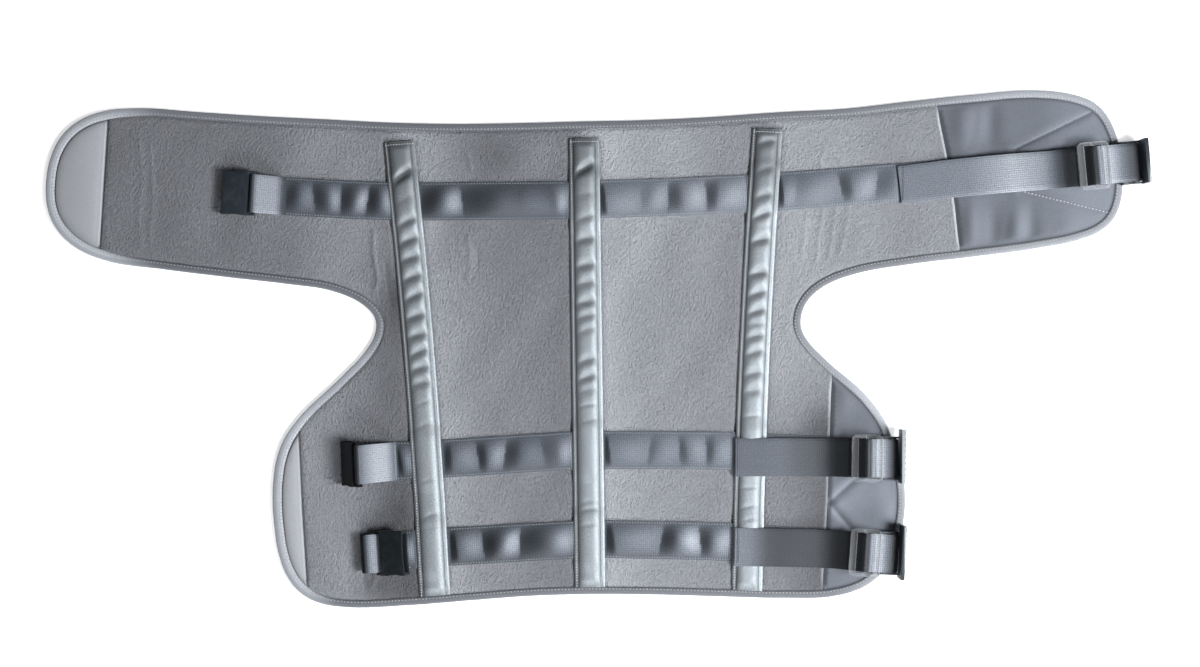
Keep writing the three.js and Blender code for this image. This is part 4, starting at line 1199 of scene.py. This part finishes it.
def strapPath(strap):
    spots = []

    def addLine(points, lane):
        for x, z in points:
            if spots and abs(spots[-1][0] - x) > strapForm["step"]:
                x0, z0 = spots[-1][0], spots[-1][1]
                steps = int(abs(x - x0) / strapForm["step"])
                spots.extend((x0 + (x - x0) * i / steps, z0 + (z - z0) * i / steps, lane)
                             for i in range(1, steps))
            spots.append((x, z, lane))

    for row in strap["loop"]:
        addLine(arcPoints(row), "sewnLane")
    turnRadius = strapForm["turnZ"] - strapForm["z"]
    turn = arcPoints((strap["hookX"] + strapForm["hookGap"], strapForm["turnZ"], turnRadius, -90, 90))
    middle = len(turn) // 2
    addLine([(bayEnds(strap["bays"][-1])[1], strapForm["z"])] + turn[:middle], "sewnLane")
    addLine(turn[middle:], "tailLane")
    window = strapForm["sliderLong"] / 2 - strapForm["sliderBar"]
    arch = []
    for i in range(strapForm["archSteps"] + 1):
        t = i / strapForm["archSteps"]
        rise = strapForm["arch"] / 2 * (1 - math.cos(2 * math.pi * t))
        arch.append((strap["sliderX"] + window * (1 - 2 * t), strapForm["upperZ"] + rise))
    addLine(arch, "tailLane")
    reach, tailX = strap["sliderX"] - strapForm["sliderLong"] / 2 - strapForm["barGap"], strap["tail"][0][0]
    deep, dipAt, dipWide = strap["dip"]
    tall, humpAt, humpWide = strap["hump"]
    droop = []
    for i in range(strapForm["droopSteps"] + 1):
        t = i / strapForm["droopSteps"]
        away = t * (reach - tailX)  # distance from the slider
        ease = 1 - math.exp(-away / strap["settle"]) if strap["settle"] else t * t * (3 - 2 * t)
        drop = (strap["tailZ"] - strapForm["upperZ"]) * ease
        drop -= deep * math.exp(-((away - dipAt) / dipWide) ** 2) * min(1.0, away / strapForm["dipRamp"])
        drop += tall * math.exp(-((t - humpAt) / humpWide) ** 2)
        droop.append((reach + (tailX - reach) * t, strapForm["upperZ"] + drop))
    addLine(droop, "tailLane")
    return spots


def sweepRings(name, rings, flats, tones, material):
    rings, flats = np.asarray(rings), np.asarray(flats)
    count, sides = rings.shape[:2]
    faces = []
    for i in range(count - 1):
        for j in range(sides):
            k = (j + 1) % sides
            faces.append((i * sides + j, i * sides + k, (i + 1) * sides + k, (i + 1) * sides + j))
    faces.append(tuple(range(sides)))
    faces.append(tuple((count - 1) * sides + j for j in reversed(range(sides))))
    piece = placeMesh(name, rings.reshape(-1, 3) * mm, faces, material)
    tidyNormals(piece, strapForm["sharp"])
    layer = piece.data.uv_layers.new(name="UVMap")
    flat = flats.reshape(-1, 2) * mm
    for loop in piece.data.loops:
        layer.data[loop.index].uv = flat[loop.vertex_index]
    storeValues(piece, "toneAndPaintedLight", tones)
    return piece


def toneAt(rows, spot):
    return float(np.interp(spot, *zip(*rows)))


def strapTone(strap, x, z, lane):
    leftBar = strap["sliderX"] - strapForm["sliderLong"] / 2
    window = strapForm["sliderLong"] / 2 - strapForm["sliderBar"]
    rightBar = strap["sliderX"] + window + strapForm["barReach"]
    if lane == "sewnLane":
        turns = [row[0] for row in strap["loop"]]
        if x <= max(turns) and z > strapForm["z"] + strapForm["loopClear"]:  # painted highlight on the loop, painted shade where it turns down
            fade = strapForm["loopFade"] * (max(turns) - min(turns))
            dim = 1 - strapForm["loopDim"] * smoothstep(-fade, 1, x - max(turns))
            return strap["loopTone"] * float(toneAt(strap["loopRamp"], x - min(turns)) * dim)
        bay = bayAt(strap, x)
        return bay[0] if bay else 1.0
    # painted shade and sheen along the tail
    if x < leftBar:
        return toneAt(strap["tailTones"], leftBar - x)
    if x < rightBar:  # painted shade where it goes up over the slider's bar, painted highlight where it comes down
        return toneAt(strapForm["windowTones"], x - strap["sliderX"])
    # painted highlight past the slider, fading to the painted shadow of the prong's lip
    return toneAt(strapForm["hookTones"], (x - rightBar) / (strap["hookX"] - rightBar))


def buildStrap(name, strap):
    path = strapPath(strap)
    spots = np.array([(x + planShift, strap[lane](x)[0], z) for x, z, lane in path])
    half, thick = strapForm["wide"] / 2, strapForm["thick"] / 2
    across = np.linspace(-half, half, strapForm["columns"])
    crown = np.clip(1 - (across / strapForm["puffReach"]) ** 2, 0, 1) ** strapForm["puffPower"]
    skin = np.full(len(across), thick)
    skin[[0, -1]] *= strapForm["rimShare"]
    bare = strapForm["step"]
    sewnFrom, sewnTo = bayEnds(strap["bays"][0])[0], bayEnds(strap["bays"][-1])[1]
    rings, flats, tones, run = [], [], [], 0.0
    for i, (x, z, lane) in enumerate(path):
        before, after = spots[max(i - 1, 0)], spots[min(i + 1, len(path) - 1)]
        way = (after - before) / np.linalg.norm(after - before)
        side = np.array([-strap[lane](x)[1], 1.0, 0.0])
        side /= np.linalg.norm(side)
        up = np.cross(way, side)
        up /= np.linalg.norm(up)
        level = lane == "sewnLane" and abs(z - strapForm["z"]) < 0.05
        onPanel = level and sewnFrom - bare <= x <= sewnTo + bare
        rise, slope = leaningGather(strap, x, across) if onPanel else (0.0, 0.0)
        upper = spots[i] + across[:, None] * side + (skin + rise * crown)[:, None] * up
        lower = spots[i] + across[:, None] * side - skin[:, None] * up
        rings.append(np.vstack([upper, lower[::-1]]))
        run += 0 if i == 0 else np.linalg.norm(spots[i] - spots[i - 1])
        flats.append(np.c_[np.full(2 * len(across), run), np.r_[across, across[::-1]]])
        # painted shading from each gather's slope
        facing = np.exp(-strapForm["slopeTone"] * slope * crown ** strapForm["slopePower"])
        tone = strapTone(strap, x, z, lane) * np.clip(facing, *strapForm["toneRange"])
        tones.append(np.r_[tone, tone[::-1]])
    piece = sweepRings(name, rings, flats, tones, finish["webbing"])
    settle(piece, "webbing", strap["node"])
    edges, tacks = [], []
    clear, onTop = strapStitch["clear"], strapForm["z"] + thick + strapStitch["proud"]
    for start, stop in map(bayEnds, strap["bays"]):
        row = np.arange(start + clear, stop - clear, strapStitch["step"])
        for reach in (-strapStitch["reach"], strapStitch["reach"]):
            edges.append([(x + planShift, strap["sewnLane"](x)[0] + reach, onTop) for x in row])
    sewStitches(name + "EdgeStitches", edges, strapStitch, "webbing")
    reach = half - tackStitch["clear"]
    for x, z in strap["tacks"]:
        y = strap["sewnLane"](x)[0]
        tacks.append([(x + planShift, y + a, z) for a in np.linspace(-reach, reach, tackStitch["spots"])])
    sewStitches(name + "Tacks", tacks, tackStitch, "webbing")
    return piece


straps = {key: buildStrap(key + "Strap", strap) for key, strap in strapRows.items()}
print("straps:", {key: len(piece.data.polygons) for key, piece in straps.items()})


# padded stay channels

stayStitch = {"pitch": 2.7, "long": 1.6, "wide": 1.1, "tall": 0.8, "slant": 0.0, "finish": "paleThread",
              "column": 2, "proud": 0.12, "endRow": 2, "endProud": 0.15}


def stayLift(x, y):
    nearest = min(abs(y - strap["sewnLane"](x)[0]) for strap in strapRows.values())
    clear = stayForm["liftClear"]
    return stayForm["lift"] * (1 - float(smoothstep(clear, clear + stayForm["liftRamp"], nearest)))


def stayColumns(half, inner):  # close together over the flanges and seams, even over the padding
    outer = [-half + a for a in stayForm["flangeColumns"]] + [-inner - a for a in stayForm["seamColumns"]]
    reach = inner - stayForm["padInset"]
    return np.array(outer + list(np.linspace(-reach, reach, stayForm["columns"])) + [-a for a in reversed(outer)])


# painted light and shade on the flanges: darker on the left flange and along the seams, lighter on the right flange
def flangeTone(across, inner):
    form = stayForm
    leftTone, rightTone = form["flangeTones"]
    tone = np.where(np.abs(across) > inner - form["seamReach"], form["seamTone"], 1.0)
    tone = np.where(across < -inner - form["flangeFrom"], leftTone, tone)
    return np.where(across > inner + form["flangeFrom"], rightTone, tone)


def creaseDepth(stay, y, across, inner):
    form = stayForm
    sway, wave = form["slantSway"]
    crease = np.zeros(len(across))
    for middle, depth in stay["creases"]:
        slant = form["slant"] * (form["deepSlant"] if depth > form["deepFrom"] else 1 + sway * math.sin(wave * middle))
        gap = (y - middle) - slant * across + form["creaseCurve"] * ((across / inner) ** 2 - form["curveMiddle"])
        calm = form["lowWide"] if middle < form["lowFrom"] else 1
        wide = form["creaseWide"] * calm
        soft, sharp = bump(gap, 0, wide), np.exp(-np.abs(gap) / wide * form["sharpness"])
        crease += depth * calm * ((1 - form["sharpShare"]) * soft + form["sharpShare"] * sharp)
    return crease


def buildStay(name, stay):
    form = stayForm
    top, foot = np.array(stay["top"], float), np.array(stay["foot"], float)
    long = np.linalg.norm(foot - top)
    along = (foot - top) / long
    side = np.array([-along[1], along[0]])
    half, inner = form["wide"] / 2, form["wide"] / 2 - form["flange"]
    across = stayColumns(half, inner)
    count = len(across)
    dome, middle = (np.clip(1 - np.abs(across / inner) ** bend, 0, 1) ** power
                    for bend, power in (form["dome"], form["middle"]))
    lengthwise, crosswise = form["slopeTones"]
    rings, flats, tones, held, before = [], [], [], [], None
    for s in np.arange(0, long + weld, long / round(long / form["step"])):
        t = s / long
        spot = top + along * s + (stay["bow"] * form["bow"] * 4 * t * (1 - t), 0)
        plan = spot + across[:, None] * side
        base = np.array([form["base"] + stayLift(*p) for p in plan])
        ends = float(smoothstep(0, form["ends"], s) * smoothstep(0, form["ends"], long - s))
        crease = creaseDepth(stay, spot[1], across, inner)
        sunk = form["creaseDeep"] * np.minimum(crease, form["creaseMost"]) * middle
        body = form["tall"] - form["edge"] + form["puff"] - sunk
        height = form["edge"] + dome * body * (form["endShare"] + (1 - form["endShare"]) * ends)
        # painted shading from the channel's slopes, lengthwise and across
        downWay = np.zeros(count) if before is None else (height - before) / form["step"]
        before = height.copy()
        sideWay = np.gradient(height, across) * (np.abs(across) < inner)
        facing = np.exp(-lengthwise * downWay * ends - crosswise * sideWay)
        height[[0, -1]] *= form["rimShare"]
        upper = np.c_[plan + (planShift, 0), base + height]
        lower = np.c_[plan + (planShift, 0), base]
        rings.append(np.vstack([upper, lower[::-1]]))
        flats.append(np.c_[np.full(2 * count, s), np.r_[across, across[::-1]]])
        # painted shade in the creases; darker towards the top and both ends
        tone = flangeTone(across, inner) * np.clip(facing, *form["toneRange"])
        tone = tone * (1 - form["creaseTone"] * np.clip(crease * middle, 0, form["toneMost"]))
        tone = tone * (1 - form["topShade"] * smoothstep(*form["topFrom"], spot[1]))
        tone = tone * (1 - form["endShade"] * (1 - ends))
        tones.append(np.r_[tone, tone[::-1]])
        sewn = (np.abs(across) > inner - form["seamReach"]) | (crease > form["heldCrease"]) | (ends < form["heldEnds"])
        held.append(np.r_[sewn, np.ones(count, bool)])
    piece = sweepRings(name, rings, flats, tones, finish["satin"])
    plumpPadding(piece, np.concatenate(held))
    settle(piece, "satin", "stay_channel_" + name[4:].lower())
    column, endRow = stayStitch["column"], rings[stayStitch["endRow"]]
    rows = [[ring[k] + (0, 0, stayStitch["proud"]) for ring in rings[1:-1]] for k in (column, -1 - column)]
    rows.append([endRow[k] + (0, 0, stayStitch["endProud"]) for k in range(column, count - column)])
    sewStitches(name + "Stitches", rows, stayStitch, "satin")
    return piece


stays = {key: buildStay("stay" + key.capitalize(), stay) for key, stay in stayRows.items()}
print("stay channels:", {key: len(piece.data.polygons) for key, piece in stays.items()})


# painted light and shade on the velour, pads and tabs, stored as a colour attribute: on the velour lighter on the right
# of each stay and darker on its left

paintedLightRule = {  # a pair of distances says where a change starts and where it is full
    "between": [(1.16, 0.74), (1.3, 0.96)], "besideStay": 0.3, "besideReach": 0.2,
    "waistTones": (-0.12, 0.22), "waistToneFrom": (20, 150), "waistToneAt": (0.4, 0.35), "waistFrom": (-20, 70),
    "waistLeft": 0.86, "leftGlow": 0.26, "glowTo": (60, 125), "nearStay": 0.2, "nearReach": 22, "scoopShade": 0.68,
    "scoopTo": (40, 110), "thighLeft": (1.12, 0.42, 0.22), "thighLift": (-190, -50), "thighFrom": (8, 80),
    "waistRight": (1.38, 1.06, 140), "thighRight": (0.94, 0.52, 60), "rightFrom": (-120, 20),
    "topGlow": 0.04, "topFrom": (165, 200), "topSides": ((-330, -280), (120, 180)),
    "seamLip": 0.45, "lipTo": (0.6, 2.6), "stayShade": 0.45, "stayShadeAt": (0.6, 0.9),
    "tabShade": 0.8, "tabShadeAt": (1.1, 1.3), "slope": 1.1, "slopeRange": (0.5, 1.6), "slopeClear": 5,
    "slopeStep": 0.8, "rimShade": 0.08, "rimAt": (8.4, 1.2),
}
paintedLightPatches = [  # painted patches of light and shade, one a painted shadow above the thigh strap's tail: middle, half sizes, change
    ((-104, 196), (26, 20), -0.26), ((-56, 190), (20, 25), 0.2), ((226, -74), (22, 16), -0.32),
    ((-222, -232), (14, 18), -0.28),
]
padPaintedLight = {"slope": 1.7, "slopeRange": (0.5, 1.7), "end": 0.38, "endFrom": (440, 500), "middle": 0.26,
          "middleAt": (-155, 32), "rimShade": 0.4}
tabPaintedLight = {"level": 0.8, "glow": 0.44, "glowReach": 30, "lip": 0.08, "lipTo": (0.6, 2.8), "crease": 0.55,
          "creaseTo": (0.1, 0.9), "rim": 0.34, "rimReach": 4.0}


# stores the painted light and shade, with painted shade along the binding's inner edge
def storePaintedLight(piece, plan, lay, rimShade):
    storeValues(piece, "paintedLightAndShade", lay * (1 - rimShade * bump(depthAt(plan), *paintedLightRule["rimAt"])))


def slopeOf(top, plan):
    reach = (paintedLightRule["slopeStep"], 0)
    return (top(plan + reach)[0] - top(plan - reach)[0]) / (2 * reach[0])


def paintedLightLeft(y, toLeft):  # left of the first stay, in the waist band and in the thigh wrap
    waist = paintedLightRule["waistLeft"] + paintedLightRule["leftGlow"] * (1 - smoothstep(*paintedLightRule["glowTo"], toLeft))
    near = paintedLightRule["nearStay"] + paintedLightRule["scoopShade"] * (1 - smoothstep(*paintedLightRule["scoopTo"], y))
    waist -= near * bump(toLeft, 0, paintedLightRule["nearReach"])
    light, dark, lift = paintedLightRule["thighLeft"]
    dark = dark + lift * smoothstep(*paintedLightRule["thighLift"], y)
    thigh = dark + (light - dark) * smoothstep(*paintedLightRule["thighFrom"], toLeft)
    return thigh + (waist - thigh) * smoothstep(*paintedLightRule["waistFrom"], y)


def paintedLightBands(x, y, middles, half):  # between the stays and right of the last one
    bands = []
    inWaist = smoothstep(*paintedLightRule["waistToneFrom"], y)
    for start, stop, (light, dark), tone in zip(middles, middles[1:], paintedLightRule["between"], paintedLightRule["waistTones"]):
        t = np.clip((x - start - half) / (stop - start - 2 * half), 0, 1)
        band = light + (dark - light) * t + paintedLightRule["besideStay"] * bump(t, 0, paintedLightRule["besideReach"])
        bands.append(band + tone * inWaist * bump(t, *paintedLightRule["waistToneAt"]))
    beyond = x - middles[2] - half
    waist, thigh = (light + (dark - light) * smoothstep(0, reach, beyond)
                    for light, dark, reach in (paintedLightRule["waistRight"], paintedLightRule["thighRight"]))
    return bands + [thigh + (waist - thigh) * smoothstep(*paintedLightRule["rightFrom"], y)]


def paintPanelLight(piece):
    plan = planOf(piece)
    x, y = plan[:, 0] - planShift, plan[:, 1]
    middles = [stayMiddle(stay, y) for stay in stayRows.values()]
    half = stayForm["wide"] / 2
    lay = paintedLightLeft(y, middles[0] - half - x)
    for start, band in zip(middles, paintedLightBands(x, y, middles, half)):
        lay = lay + (band - lay) * smoothstep(-half, half, x - start)
    left, right = paintedLightRule["topSides"]
    glow = smoothstep(*paintedLightRule["topFrom"], y) * smoothstep(*left, x) * (1 - smoothstep(*right, x))
    lay = lay * (1 + paintedLightRule["topGlow"] * glow)
    # painted highlight on the panel's cut edge beside the pads
    for seam in padSides:
        lay = lay * (1 + paintedLightRule["seamLip"] * (1 - smoothstep(*paintedLightRule["lipTo"], lineDistance(plan, seam))))
    # painted shade in the groove beside each stay and in the gap right of each tab
    lay = lay * (1 - paintedLightRule["stayShade"] * bump(stayGap(plan), *paintedLightRule["stayShadeAt"]))
    for seam in tabSeams:
        shade = bump(plan[:, 0] - seamX(seam, y), *paintedLightRule["tabShadeAt"])
        lay = lay * (1 - paintedLightRule["tabShade"] * shade * (y > seam[:, 1].min()) * (y < seam[:, 1].max()))
    for middle, sizes, change in paintedLightPatches:
        lay = lay * (1 + change * np.exp(-np.sum(((plan - planLine([middle])[0]) / sizes) ** 2, 1)))
    # painted shading from the panel's own slopes
    slope = slopeOf(lambda spots: panelTop(spots, depthAt(plan)), plan) * (stayGap(plan) > paintedLightRule["slopeClear"])
    lay = lay * np.clip(1 - paintedLightRule["slope"] * slope, *paintedLightRule["slopeRange"])
    storePaintedLight(piece, plan, lay, paintedLightRule["rimShade"])


def paintPadLight(piece, seam):
    plan = planOf(piece)
    depth = depthAt(plan)
    # painted shading from the pad's dents, lighter towards the waist pad's end and the thigh pad's middle, painted
    # shade by the binding
    slope = slopeOf(lambda spots: padTop(spots, depth, seam), plan)
    lay = np.clip(1 - padPaintedLight["slope"] * slope, *padPaintedLight["slopeRange"])
    lay = lay + padPaintedLight["end"] * smoothstep(*padPaintedLight["endFrom"], plan[:, 0])
    lay = lay + padPaintedLight["middle"] * bump(plan[:, 1], *padPaintedLight["middleAt"])
    storePaintedLight(piece, plan, lay, padPaintedLight["rimShade"])


def paintTabLight(piece, seam, level):
    plan = planOf(piece)
    away = lineDistance(plan, seam)
    # painted light on the tab: lighter towards its seam, a painted highlight on the sewn edge, painted shade in the
    # crease there and near the binding
    lay = tabPaintedLight["level"] + tabPaintedLight["glow"] * np.exp(-away / tabPaintedLight["glowReach"])
    lay = lay + tabPaintedLight["lip"] * (1 - smoothstep(*tabPaintedLight["lipTo"], away))
    lay = lay * (1 - tabPaintedLight["crease"] * (1 - smoothstep(*tabPaintedLight["creaseTo"], away)))
    fromRim = np.maximum(depthAt(plan) - tabForm["inset"], 0)
    lay = lay * (1 - tabPaintedLight["rim"] * np.exp(-fromRim / tabPaintedLight["rimReach"]))
    storePaintedLight(piece, plan, lay * level, 0.0)


paintPanelLight(velourPanel)
for piece, seam in zip((waistPad, thighPad), padSides):
    paintPadLight(piece, seam)
for piece, seam, level in zip((waistTab, thighTab), tabSeams, (1.02, 0.92)):
    paintTabLight(piece, seam, level)
print("pile brushed")


# moulded buckles and sliders: the frame's solids with their edges rounded

roundRule = {"flat": 1.0, "edge": 40, "segments": 2, "sharp": 35}  # angles in degrees
mouldings = {
    "darkPlastic": {"slot": "dark_plastic", "round": 0.3, "nodes": [
        "waist_socket", "waist_prong", "thigh_prong_upper", "thigh_prong_lower"]},
    "blackPlastic": {"slot": "dark_plastic", "round": 0.55, "nodes": ["thigh_socket_lower"]},
    "shadedPlastic": {"slot": "dark_plastic", "round": 0.55, "nodes": ["thigh_socket_upper"]},
    "clearPlastic": {"slot": "clear_plastic", "round": 0.9, "nodes": [
        "waist_slider", "thigh_slider_upper", "thigh_slider_lower"]},
}


def roundedCopy(node, form, material):
    shell = bmesh.new()
    shell.from_mesh(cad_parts[node].data)
    bmesh.ops.remove_doubles(shell, verts=shell.verts, dist=weld)
    flat = math.radians(roundRule["flat"])
    bmesh.ops.dissolve_limit(shell, angle_limit=flat, verts=shell.verts, edges=shell.edges)
    mesh = bpy.data.meshes.new(node + "Moulding")
    shell.to_mesh(mesh)
    shell.free()
    mesh.materials.clear()
    mesh.materials.append(material)
    piece = bpy.data.objects.new(node + "Moulding", mesh)
    scene.collection.objects.link(piece)
    bevel = piece.modifiers.new("roundEdges", "BEVEL")
    bevel.width = form["round"] * mm
    bevel.segments = roundRule["segments"]
    bevel.limit_method = "ANGLE"
    bevel.angle_limit = math.radians(roundRule["edge"])
    graph = bpy.context.evaluated_depsgraph_get()
    rounded = bpy.data.meshes.new_from_object(piece.evaluated_get(graph), depsgraph=graph)
    piece.modifiers.remove(bevel)
    piece.data = rounded
    rounded.shade_smooth()
    rounded.set_sharp_from_angle(angle=math.radians(roundRule["sharp"]))
    settle(piece, form["slot"], node)


for name, form in mouldings.items():
    for node in form["nodes"]:
        roundedCopy(node, form, makeDarkPlastic(name, node) if node in lipForm["wide"] else finish[name])
print("buckles and sliders rounded")
